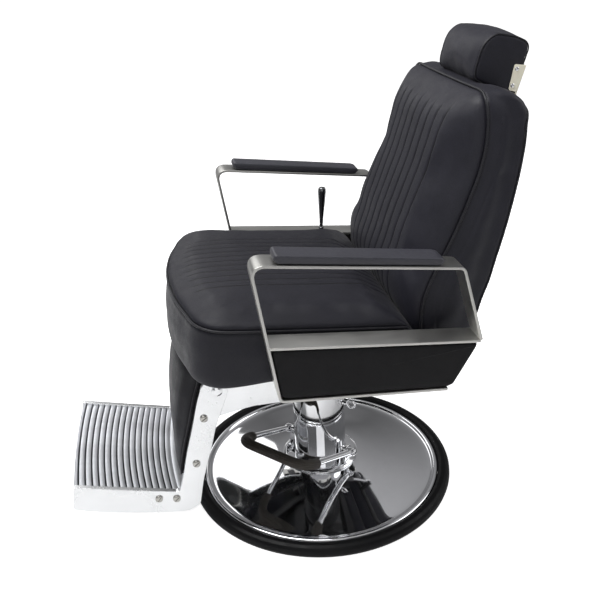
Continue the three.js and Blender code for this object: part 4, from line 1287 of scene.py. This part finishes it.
# section of the arm pad: x from its middle, share of its height
PAD_SECTION = np.array([
    (-25, 0.06), (-25, 0.74), (-24.4, 0.90), (-22.0, 0.97), (-17.5, 0.99), (-9, 1.0), (0, 1.0),
    (9, 1.0), (17.5, 0.99), (22.0, 0.97), (24.4, 0.90), (25, 0.74), (25, 0.06), (24.4, 0.0),
    (0, 0.0), (-24.4, 0.0),
])


def offset_open(points, distance):
    """An open polyline with rounded corners moved sideways."""
    p = np.array([q[:2] for q in points], float)
    step = np.diff(p, axis=0)
    step /= np.linalg.norm(step, axis=1)[:, None]
    normal = np.stack([-step[:, 1], step[:, 0]], 1)
    result = [tuple(p[0] + normal[0] * distance)]
    for i in range(1, len(p) - 1):
        before, after = normal[i - 1], normal[i]
        y, z = p[i] + (before + after) / (1 + before @ after) * distance
        result.append((y, z, points[i][2] - distance))
    result.append(tuple(p[-1] + normal[-1] * distance))
    return result


def soft_panel(name, outline, span):
    """An upholstered board: crowned faces that pull down to rounded edges."""
    # the outline runs clockwise, so it is reversed
    base = resample(rounded(outline, 5), 220)[::-1]
    outward = outward_normals(base)
    middle = base.mean(0)
    half, centre_x = (span[1] - span[0]) / 2, (span[0] + span[1]) / 2
    rows = []
    for angle in np.linspace(90, 0, 9):
        c, s = math.cos(math.radians(angle)), math.sin(math.radians(angle))
        rows.append((PANEL_EDGE * (1 - c), half - PANEL_EDGE * (1 - s)))
    rows += [(inset, -h) for inset, h in reversed(rows)]
    edge = [at_x(centre_x + h, base - outward * inset) for inset, h in rows]
    flat = base - outward * PANEL_EDGE
    high_face, low_face = [], []
    for k in (0.03, 0.2, 0.4, 0.6, 0.78, 0.9, 0.96):
        points = middle + (flat - middle) * k
        h = half + PANEL_CROWN * (1 - k**6)
        high_face.append(at_x(centre_x + h, points))
        low_face.append(at_x(centre_x - h, points))
    return loft(name, high_face + edge + low_face[::-1])


def pad_top(y):
    if y < -135:
        return np.interp(y, [-141.5, -140.8, -139.5, -137.5, -135], [737, 742.5, 745, 746.8, 747.5])
    if y > 172:
        return np.interp(y, [172, 176, 180, 182.5, 184], [706.4, 705.2, 703.4, 701.2, 697.8])
    return 747 + (y + 135) * (706 - 747) / (172 + 135) + 0.5


def pad_bottom(y):
    if y < -134:
        return np.interp(y, [-141.5, -134], [736.4, 729.6])
    if y > 174:
        return np.interp(y, [174, 184], [690.6, 697.3])
    return 729.4 + (y + 134) * (690.4 - 729.4) / (174 + 134) + 0.2


def arm_pad(side, where):
    """A moulded pad: softly crowned top, softened upper edges, tapered ends."""
    rows = []
    stations = [np.linspace(-141.5, -134, 9), np.linspace(-130, 168, 30), np.linspace(172, 184, 8)]
    for y in np.concatenate(stations):
        top, bottom = pad_top(y), pad_bottom(y)
        width = 1.0 - 0.14 * (ease(-y, 133, 142.0) + ease(y, 174, 184.5))
        x = side * PAD_X + PAD_SECTION[:, 0] * width * side
        z = bottom + (top - bottom) * PAD_SECTION[:, 1]
        rows.append(np.stack([x, np.full(len(x), y), z], 1)[::side])
    pad = loft(f"arm_pad_{where}_moulded", rows)
    subdivide(pad)
    shade(pad, 40)
    finish(pad, "pad", "seat", "arm_pad", f"arm_pad_{where}")


arm_outline = rounded(ARM_BAR, 10, closed=False)
arm_outline += rounded(offset_open(ARM_BAR, ARM_THICK), 10, closed=False)[::-1]
for side, where in SIDES:
    bar = plate("arm_bar_part", arm_outline, x_span(side, 287, 344), bevel=1.0, res=3)
    cross = plate("arm_cross_part", ARM_CROSS, x_span(side, 287.2, 343.8))
    arm = join_objects(f"arm_frame_{where}_bar", [bar, cross])
    finish(arm, "brushed", "seat", "brushed_bar", f"arm_frame_{where}")
    panel = soft_panel(f"side_panel_{where}_leather", SIDE_PANEL, x_span(side, 289.5, 342.0))
    push(panel, 0.25 * ripple(coords(panel), 110))
    shade(panel, 0)
    finish(panel, "panel_leather", "seat", "leather", f"side_panel_{where}")
    arm_pad(side, where)

# ================================================================== seat cushion
SEAT_HALF, SEAT_CORNER = 276, 80.0
SEAM_HEIGHT = 117.0
SEAT_CENTRE = np.array([0, -110.0])
# right-hand rear of the plan is mirrored from these left-hand (x, y) points
SEAT_REAR = [(277.5, -120), (277.5, 20), (276.5, 124), (272, 146), (254, 156)]
# rings from the underside up: (inset from the plan, height)
SEAT_RINGS = [
    (38, -2.6), (24, -3), (11, -1.6), (3.5, 4), (0, 13), (-1.5, 24), (-2.4, 42), (-3.0, 62),
    (-2.4, 84), (-0.6, 104), (0, 113), (0.2, 117), (1.8, 123.4), (6.5, 129.6), (16, 134.4),
    (33, 137.4), (55, 138.6),
]


def seat_plan():
    """Outline of the seat in its own x, y, anticlockwise from the right front corner."""
    quarter = []
    for i in range(9):
        a = i / 8 * math.pi / 2
        quarter.append((-SEAT_HALF + SEAT_CORNER * (1 - math.cos(a)), -251 - 66 * math.sin(a)))
    front = [(x, -348 + 34 * (abs(x) / 213) ** 2) for x in range(-150, 151, 50)]
    sides = SEAT_REAR + [(0, 158)] + mirror(SEAT_REAR)
    plan = spline(quarter + front + mirror(quarter) + sides, 360, closed=True)
    # ease the front only
    for _ in range(22):
        eased = 0.5 * plan + 0.25 * (np.roll(plan, 1, 0) + np.roll(plan, -1, 0))
        plan = np.where(plan[:, 1:] < -170, eased, plan)
    return plan


def seat_rear_height(y):
    """Greatest height of the cushion where it rolls down at the rear."""
    heights = [200, 139, 131, 119, 105, 88, 66, 50]
    return np.interp(y, [60, 74, 106, 126, 139, 148, 155, 158], heights)


def shrink_plan(ring_points, k):
    p = ring_points.copy()
    p[:, :2] = SEAT_CENTRE + (p[:, :2] - SEAT_CENTRE) * k
    return p


def seat_body(plan):
    outward = outward_normals(plan)
    bottom = at_z(2.0, plan - outward * 42)
    rows = [shrink_plan(bottom, k) for k in (0.05, 0.4, 0.75)] + [bottom]
    rows += [at_z(z, plan - outward * inset) for inset, z in SEAT_RINGS]
    top = rows[-1]
    for k in (0.8, 0.6, 0.4, 0.2, 0.05):
        row = shrink_plan(top, k)
        row[:, 2] = 138.8 + 8.5 * (1 - k**2)
        rows.append(row)
    for row in rows:
        # the boxing hangs lower towards the front of the seat
        row[:, 2] -= 15.0 * ease(-row[:, 1], 110, 250) * (1 - ease(row[:, 2], 4, 60))
    # only the rings from height 84 up follow the roll at the rear
    for row in rows[12:]:
        row[:, 2] = np.minimum(row[:, 2], seat_rear_height(row[:, 1]) + 0.4)
    return loft("seat_cushion_leather", [tilt(row) for row in rows])


def seat_seam(plan):
    """The upper seam round the front and sides, open across the rear."""
    edge = np.array([(x, y, min(SEAM_HEIGHT, float(seat_rear_height(y)) - 6)) for x, y in plan[::2]])
    edge = np.roll(edge, -int(np.argmax(edge[:, 1] >= 136)), axis=0)
    return tilt(edge[edge[:, 1] < 136])


def seat_relief(seat, plan):
    """Sewn channels on top, looseness, creases in the sides and a sag under the seam."""
    q = untilt(coords(seat))
    x, y, z = q.T
    up = ease(normals(seat) @ np.array([0, SIN_TILT, COS_TILT]), 0.75, 0.93)
    front = plan[plan[:, 1] < -200]
    front = front[np.argsort(np.abs(front[:, 0]))]
    front_y = np.interp(np.abs(x), np.abs(front[:, 0]), front[:, 1])
    reach = channel_reach(SEAT_CHANNELS)
    region = up * ease(y - front_y, 30, 46) * ease(reach + 16 - np.abs(x), 0, 14)
    channel = channel_relief(x, SEAT_CHANNELS, depth=1.9, width=2.2, puff=0.45)
    loose = 0.55 * ripple(q * [1, 0.45, 1], 90) + 0.3 * ripple(q * [1, 0.6, 1], 38)
    side_face = (1 - up) * ease(z, 8, 40) * (1 - ease(z, 100, 116))
    creases = 0.25 * ripple(q * [0.5, 0.5, 1.7], 46) * side_face
    sag = np.exp(-(((107 - z) / 6.0) ** 2)) * (1 - up)
    sag = sag * (0.4 + 0.6 * np.abs(ripple(q * [1, 1, 0.2], 30)))
    push(seat, channel * region + loose * up * 0.8 + creases + sag)
    attribute(seat, "sewn", region)


def seat_cushion():
    plan = seat_plan()
    seat = seat_body(plan)
    remesh(seat, 5.5)
    smooth(seat, 3)
    seam = seat_seam(plan)

    def mask(p):
        """Held at the seam and underside, tighter on the sides and at the rear."""
        q = untilt(p)
        height = ease(q[:, 2], 2, 40) * (0.2 + 0.8 * ease(q[:, 2], 108, 124))
        front = 1 - ease(q[:, 1], 60, 110)
        return ease(distance_to_path(p, seam), 4, 60) * height * (0.25 + 0.75 * front)

    inflate(seat, 11, mask)
    subdivide(seat)
    smooth(seat)
    cord = snap(seat, seam, 0.8)
    seam_groove(seat, cord, depth=2.6, width=5.0)
    seat_relief(seat, plan)
    shade(seat, 0)
    finish(seat, "seat_leather", "seat", "leather", "seat_cushion")
    piping("seat_piping", cord, 2.7, 14, "seat")


seat_cushion()

# ================================================================== backrest
# (z, half width, y of the side seam, crown in front of the seam, y of the rear face)
BACK = [
    (482, 250, 187, 12, 279), (496, 254, 176, 22, 286), (520, 255, 169, 24, 297),
    (560, 252, 172, 30, 310), (600, 250, 183, 40, 325), (650, 248, 206, 47, 338),
    (700, 244, 232, 58, 353), (770, 237, 264, 64, 371), (840, 229, 291, 66, 386),
    (890, 224, 301, 61, 392), (928, 219.5, 303, 48, 393), (950, 214, 302, 35, 388),
    (964, 205, 301, 24, 371), (975, 188, 302, 6, 336),
]
BACK_FINE = smooth_table(
    BACK, np.concatenate([[482, 486, 491], np.linspace(497, 950, 50), [956, 961, 966, 970, 973, 975]])
)
# (x, y, z) of the left upper corners of the front and rear seams
FRONT_SEAM_CORNER = [
    (216, 302, 945), (212, 301.5, 955), (205, 301.5, 964), (194, 302, 971.5),
    (180, 302.5, 975.8), (163, 302.5, 977),
]
REAR_SEAM_CORNER = [(204, 388, 932), (188, 386, 940), (124, 384.5, 944)]


def rear_y(z):
    return np.interp(z, BACK_FINE[:, 0], BACK_FINE[:, 4])


def back_ring(row):
    z, w, y, crown, rear = row
    half = [
        (w - 110, y - crown - 3), (w - 62, y - crown), (w - 24, y - 0.93 * crown),
        (w - 6, y - 0.50 * crown), (w, y), (w, rear - 18), (w - 5, rear - 5), (w - 18, rear),
    ]
    control = [(0, y - crown - 5), *half, (0, rear + 1.5), *mirror(half)]
    return at_z(z, resample(rounded(control, 6, default=400), 200))


def squeezed(ring_points, scale, rise):
    """A copy of a level ring, scaled about its middle and raised."""
    p = ring_points.copy()
    middle = p.mean(0)[:2]
    p[:, :2] = middle + (p[:, :2] - middle) * scale
    p[:, 2] += rise
    return p


def back_body():
    rows = [back_ring(row) for row in BACK_FINE]
    low = squeezed(rows[0], 0.82, -5.0)
    high = squeezed(rows[-1], [0.93, 0.5], 1.5)
    back = loft("backrest_cushion_leather", [low, *rows, high])
    remesh(back, 5.5)
    smooth(back, 3)
    # the shoulders stand up on both sides of the headrest
    co = coords(back)
    x, y, z = np.abs(co[:, 0]), co[:, 1], co[:, 2]
    shoulder = ease(x, 100, 150) * ease(y, 308, 345) * (1 - ease(y, 355, 388))
    co[:, 2] += 5.0 * (shoulder * ease(z, 930, 966))
    set_coords(back, co)
    return back


def front_seam():
    sides = [(w, y, z) for z, w, y, _, _ in BACK_FINE if 489 <= z <= 936]
    half = sides + FRONT_SEAM_CORNER
    top = []
    for x in np.linspace(150, -150, 31):
        arch = 1 - (x / 168) ** 2
        top.append((x, 302.5 - 4 * arch, 977 + 1.5 * arch))
    return resample(half + top + mirror(half), 320, closed=False)


def rear_seam():
    half = [(w - 3, rear - 5, z) for z, w, _, _, rear in BACK_FINE if 500 <= z <= 920]
    half += REAR_SEAM_CORNER
    return resample(half + [(0, 384, 945)] + mirror(half), 260, closed=False)


def back_relief(back):
    """Sewn channels, looseness all over and folds in the plain side borders."""
    co = coords(back)
    x = co[:, 0]
    facing = ease(-normals(back)[:, 1], 0.55, 0.85)
    reach = channel_reach(BACK_CHANNELS)
    region = facing * (1 - ease(co[:, 2], 936, 953)) * ease(reach + 18 - np.abs(x), 0, 16)
    channel = channel_relief(x, BACK_CHANNELS, depth=2.3, width=2.5, puff=0.4)
    loose = 0.7 * ripple(co * [1, 1, 0.5], 95) + 0.35 * ripple(co * [1, 1, 0.6], 40)
    border = facing * ease(np.abs(x), 150, 175) * 0.8 * ripple(co * [0.4, 0.4, 1.2], 60)
    push(back, channel * region + loose * 0.7 + border)
    attribute(back, "sewn", region)


def backrest_cushion():
    back = back_body()
    seam = front_seam()

    def mask(p):
        """Held at the seam and lower edge, tighter at the rear."""
        front = ease(rear_y(p[:, 2]) - p[:, 1], 8, 40)
        free = ease(distance_to_path(p, seam), 4, 55) * (0.15 + 0.85 * front)
        return free * ease(p[:, 2], 486, 520)

    inflate(back, 9, mask)
    subdivide(back)
    smooth(back)
    front_cord = snap(back, seam, 0.8)
    seam_groove(back, front_cord, depth=2.6, width=4.6)
    # a plain seam down each side, behind the piped one
    gusset = [(w + 0.5, y + 34, z) for z, w, y, _, _ in BACK_FINE if 500 <= z <= 936]
    gusset = snap(back, spline(gusset, 120))
    for side in (1, -1):
        seam_groove(back, gusset * [side, 1, 1], depth=1.1, width=2.6)
    rear_cord = snap(back, rear_seam(), 0.6)
    seam_groove(back, rear_cord, depth=1.8, width=4.0)
    back_relief(back)
    shade(back, 0)
    finish(back, "back_leather", "backrest", "leather", "backrest_cushion")
    piping("backrest_piping", front_cord, 2.7, 14, "backrest")
    piping("backrest_rear_piping", rear_cord, 2.1, 12, "backrest")


backrest_cushion()

# ================================================================== back panel
PANEL_HALF, PANEL_LOW, PANEL_HIGH, PANEL_CENTRE_Z = 181, 508, 921, 714
# rings of the padded edge: (inset, height over the rear of the back, plus 1)
PANEL_RINGS = [(0.0, -2.0), (0.0, 1.6), (2.0, 3.6), (6.0, 4.8), (14.0, 5.6), (40.0, 6.2)]


def panel_ring(inset, height):
    x, low, high = PANEL_HALF - inset, PANEL_LOW + inset, PANEL_HIGH - inset
    outline = rounded([(-x, low), (x, low), (x, high), (-x, high)], default=14)
    points = resample(outline, 240)
    return np.stack([points[:, 0], rear_y(points[:, 1]) + height - 1.0, points[:, 1]], 1)


def panel_inner(ring_points, k, offset):
    """A ring shrunk by k and laid at an offset from the rear of the back."""
    p = ring_points.copy()
    p[:, 0] *= k
    p[:, 2] = PANEL_CENTRE_Z + (p[:, 2] - PANEL_CENTRE_Z) * k
    p[:, 1] = rear_y(p[:, 2]) + offset
    return p


rows = [panel_ring(inset, height) for inset, height in PANEL_RINGS]
hidden_face = [panel_inner(rows[0], k, -3.0) for k in (0.05, 0.3, 0.6, 0.85)]
rear_face = [panel_inner(rows[-1], k, 5.4) for k in (0.75, 0.5, 0.25, 0.05)]
panel = loft("back_panel_leather", hidden_face + rows + rear_face)
push(panel, 0.4 * ripple(coords(panel), 80))
shade(panel, 0)
finish(panel, "panel_leather", "backrest", "leather", "back_panel")

# ================================================================== headrest cushion
HEAD_HALF = 99.5
HEAD_CENTRE = np.array([378.0, 1010.0])
# side outline, (y, z, corner radius)
HEAD = [
    (352, 1063, 30), (366, 1069, 60), (408, 1060, 60), (428, 1051, 16), (436, 1039, 14),
    (426, 1005, 60), (410, 954, 12), (399, 949.5, 12), (369, 959.5, 60), (340, 970, 40),
    (321, 981, 14), (320, 998, 60), (331, 1038, 60), (339, 1052, 30),
]
# end faces: (scale of the outline, x)
HEAD_CAPS = [(0.05, 102.5), (0.35, 102.3), (0.62, 101.9), (0.82, 101.2), (0.93, 100.5)]


def headrest_cushion():
    # the outline runs clockwise, so it is reversed
    base = resample(rounded(HEAD), 180)[::-1]
    outward = outward_normals(base)
    # the front and top stand up in the middle; the rear and bottom lie flat on the cradle
    share = np.clip(outward @ np.array([-0.75, 0.66]), 0, 1) ** 0.7
    rows = []
    for x in np.concatenate([[-HEAD_HALF], np.linspace(-97, 97, 37), [HEAD_HALF]]):
        bulge = 6.0 * (1 - (abs(x) / HEAD_HALF) ** 2.4) * share
        rows.append(at_x(x, base + outward * bulge[:, None]))
    caps = [at_x(x, HEAD_CENTRE + (base - HEAD_CENTRE) * k) for k, x in HEAD_CAPS]
    right_caps = [cap * [-1, 1, 1] for cap in caps]
    head = loft("headrest_cushion_leather", right_caps + rows + caps[::-1])
    remesh(head, 4.0)
    smooth(head, 2)
    edges = [at_x(side * HEAD_HALF, base) for side, _ in SIDES]

    def mask(p):
        """Held at both end seams, tighter at the rear and on the end faces."""
        distance = np.minimum(*[distance_to_path(p, edge, True) for edge in edges])
        front = ease((430 - p[:, 1]) + (p[:, 2] - 1000) * 0.3, 0, 30)
        ends = np.where(np.abs(p[:, 0]) > 98, 0.25, 1.0)
        return ease(distance, 3, 35) * (0.3 + 0.7 * front) * ends

    inflate(head, 6, mask)
    subdivide(head)
    smooth(head)
    cords = [snap(head, edge, 0.4) for edge in edges]
    for cord in cords:
        seam_groove(head, cord, depth=1.6, width=3.2, closed=True)
    co = coords(head)
    band = 1 - ease(np.abs(normals(head)[:, 0]), 0.5, 0.8)
    relief = 0.5 * ripple(co * [0.7, 1, 0.7], 55) * band
    push(head, relief + 0.4 * ripple(co * [0.5, 1, 1], 26) * band)
    shade(head, 0)
    finish(head, "leather", "headrest", "leather", "headrest_cushion")
    for cord, (_, where) in zip(cords, SIDES):
        path = resample(cord, 160)
        piping(f"headrest_piping_{where}", path, 1.5, 10, "headrest", closed=True)


headrest_cushion()

# ================================================================== headrest cradle and post
# outlines in (y, z[, corner radius])
CRADLE_REAR = [(427.2, 1003.5), (430.2, 1002.8), (412.5, 944.5), (409.4, 945.4)]
CRADLE_CHEEK = [(404, 1007, 5), (427.8, 1003.5, 2), (413, 951, 2), (395, 956, 5)]
CRADLE_TONGUE = [
    (366, 952.8), (366, 946.4), (378, 946.4), (399, 941.5), (412, 943.5), (412, 946.5),
    (399, 944.5),
]
# screws: (y, z), slot angle in radians
CRADLE_SCREWS = {"upper": ((409.5, 997.5), 0.6), "lower": ((402.5, 965.0), -0.4)}
POST_HALF_THICK, POST_LOW, POST_HIGH = 3, 790, 945

parts = [plate("cradle_rear_part", CRADLE_REAR, (-103, 103), bevel=0.6)]
for side, _ in SIDES:
    span = x_span(side, 100.9, 103.2)
    parts.append(plate("cradle_cheek_part", rounded(CRADLE_CHEEK, 5), span, bevel=0.6))
parts.append(plate("cradle_tongue_part", CRADLE_TONGUE, (-15, 15), bevel=0.4))
cradle = join_objects("headrest_cradle_plate", parts)
finish(cradle, "cream", "headrest", "cream_paint", "headrest_cradle")
for side, where in SIDES:
    for level, (at, spin) in CRADLE_SCREWS.items():
        name = f"headrest_screw_{where}_{level}"
        screw = cross_bolt(
            name + "_slotted", at, x_span(side, 100, 103.6), 2.5, head_radius=4.3, height=1.9,
            dome=0.7, slot=1.1, spin=spin, ends=(side,),
        )
        finish(screw, "chrome", "headrest", "chrome", name)


def post_y(z):
    return 375 + 0.1835 * (z - 950)


post_outline = [
    (post_y(POST_LOW) - POST_HALF_THICK, POST_LOW), (post_y(POST_LOW) + POST_HALF_THICK, POST_LOW),
    (post_y(POST_HIGH) + POST_HALF_THICK, POST_HIGH),
    (post_y(POST_HIGH) - POST_HALF_THICK, POST_HIGH),
]
post = plate("headrest_post_bar", post_outline, (-15, 15), bevel=1.2, res=3)
finish(post, "chrome", "headrest", "chrome", "headrest_post")

# ================================================================== CAD pieces kept as they are
# seat_board and calf_board wear near-black painted shade in place of plywood
KEPT = {
    "pump_cylinder": "steel", "pump_plunger": "steel", "seat_saddle": "steel",
    "seat_frame": "steel", "seat_board": "underside_shade", "back_frame": "steel",
    "headrest_socket": "steel", "calf_board": "underside_shade", "footrest_link": "steel",
    "lock_cylinder": "steel", "lock_rod": "chrome",
}
for name, mat in KEPT.items():
    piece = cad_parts[name]
    piece.data.materials.clear()
    piece.data.materials.append(MAT[mat])
    bevel = piece.modifiers.new("edge", "BEVEL")
    bevel.width = 0.8 * MM
    bevel.segments = 2
    bevel.limit_method = "ANGLE"
    bevel.angle_limit = math.radians(40)


# ================================================================== floor
def pale_floor():
    """Pale floor that glows a little for all but camera rays' opposite: see the mix below."""
    m = Surface("pale_floor")
    tone = m.remap(m.noise(scale=1.4, detail=3.0, rough=0.5), span=(0.3, 0.7))
    m.set(
        Base_Color=m.mix(tone, (0.86, 0.86, 0.86), (0.88, 0.88, 0.88)),
        Roughness=0.6,
        Specular_IOR_Level=0.2,
    )
    # only the camera sees the added glow; other rays see the plain surface
    is_camera = m.node("LightPath").outputs["Is Camera Ray"]
    glow = m.node("Emission")
    glow.inputs["Color"].default_value = (1, 1, 1, 1)
    glow.inputs["Strength"].default_value = 0.85
    glowing = m.node("AddShader")
    m.link(m.bsdf.outputs[0], glowing.inputs[0])
    m.link(glow.outputs[0], glowing.inputs[1])
    pick = m.node("MixShader")
    m.link(is_camera, pick.inputs[0])
    m.link(m.bsdf.outputs[0], pick.inputs[1])
    m.link(glowing.outputs[0], pick.inputs[2])
    m.link(pick.outputs[0], m.out.inputs["Surface"])
    return m.mat


pale_floor.__doc__ = None
bm = bmesh.new()
bmesh.ops.create_grid(bm, x_segments=2, y_segments=2, size=40)
floor = add_bmesh("floor", bm)
floor.data.materials.append(pale_floor())

# ================================================================== world
# grey of the surroundings: (position on the ramp, which follows the height, grey)
SKY = [(0.0, 0.42), (0.10, 0.36), (0.30, 0.14), (0.55, 0.30), (1.0, 0.62)]
world = bpy.data.worlds.new("studio")
SCENE.world = world
world.use_nodes = True
sky = Graph(world.node_tree)
height = sky.separate(sky.node("TexCoord").outputs["Generated"])["Z"]
surroundings = sky.node("Background")
grey = sky.ramp(height, [(position, (v, v, v * 1.02)) for position, v in SKY])
sky.link(grey, surroundings.inputs["Color"])
surroundings.inputs["Strength"].default_value = 0.80
# the camera sees plain white instead
white = sky.node("Background")
white.inputs["Color"].default_value = (1, 1, 1, 1)
white.inputs["Strength"].default_value = 1.0
pick = sky.node("MixShader")
sky.link(sky.node("LightPath").outputs["Is Camera Ray"], pick.inputs[0])
sky.link(surroundings.outputs[0], pick.inputs[1])
sky.link(white.outputs[0], pick.inputs[2])
sky.link(pick.outputs[0], sky.node("OutputWorld").inputs[0])

# ================================================================== lights
# name, place, target, size (all in metres), power in watts
LIGHTS = [
    ("key", (0.1, -1.05, 3.3), (0, 0, 0.6), (2.6, 2.2), 98),
    ("fill", (3.2, -0.5, 1.5), (0, 0, 0.7), (2.0, 1.8), 10),
    ("rim", (-2.6, -0.9, 2.2), (0, 0, 0.6), (1.6, 2.0), 13),
    ("rear", (0.4, 2.8, 2.2), (0, 0.2, 0.7), (2.2, 1.6), 22),
]
for name, at, target, size, power in LIGHTS:
    light = bpy.data.lights.new(name, "AREA")
    light.shape = "RECTANGLE"
    light.size, light.size_y = size
    light.energy = power
    lamp = add_object(name, light)
    lamp.location = at
    lamp.rotation_euler = (Vector(target) - Vector(at)).to_track_quat("-Z", "Y").to_euler()

# ================================================================== camera
CAMERA_AT = (1.59888, -0.31749, 1.26948)  # metres
AZIMUTH, ELEVATION, ROLL = math.radians(80.04), math.radians(25.7), math.radians(-2.41)
camera = bpy.data.cameras.new("camera")
camera.sensor_width = 36
camera.lens = 46.30
camera_obj = add_object("camera", camera)
backward = Vector((
    math.sin(AZIMUTH) * math.cos(ELEVATION),
    -math.cos(AZIMUTH) * math.cos(ELEVATION),
    math.sin(ELEVATION),
))
level_right = Vector((math.cos(AZIMUTH), math.sin(AZIMUTH), 0))
level_up = backward.cross(level_right)
right = math.cos(ROLL) * level_right + math.sin(ROLL) * level_up
upward = -math.sin(ROLL) * level_right + math.cos(ROLL) * level_up
pose = Matrix((right, upward, backward)).transposed().to_4x4()
pose.translation = CAMERA_AT
camera_obj.matrix_world = pose
SCENE.camera = camera_obj
SCENE.view_settings.view_transform = "Standard"

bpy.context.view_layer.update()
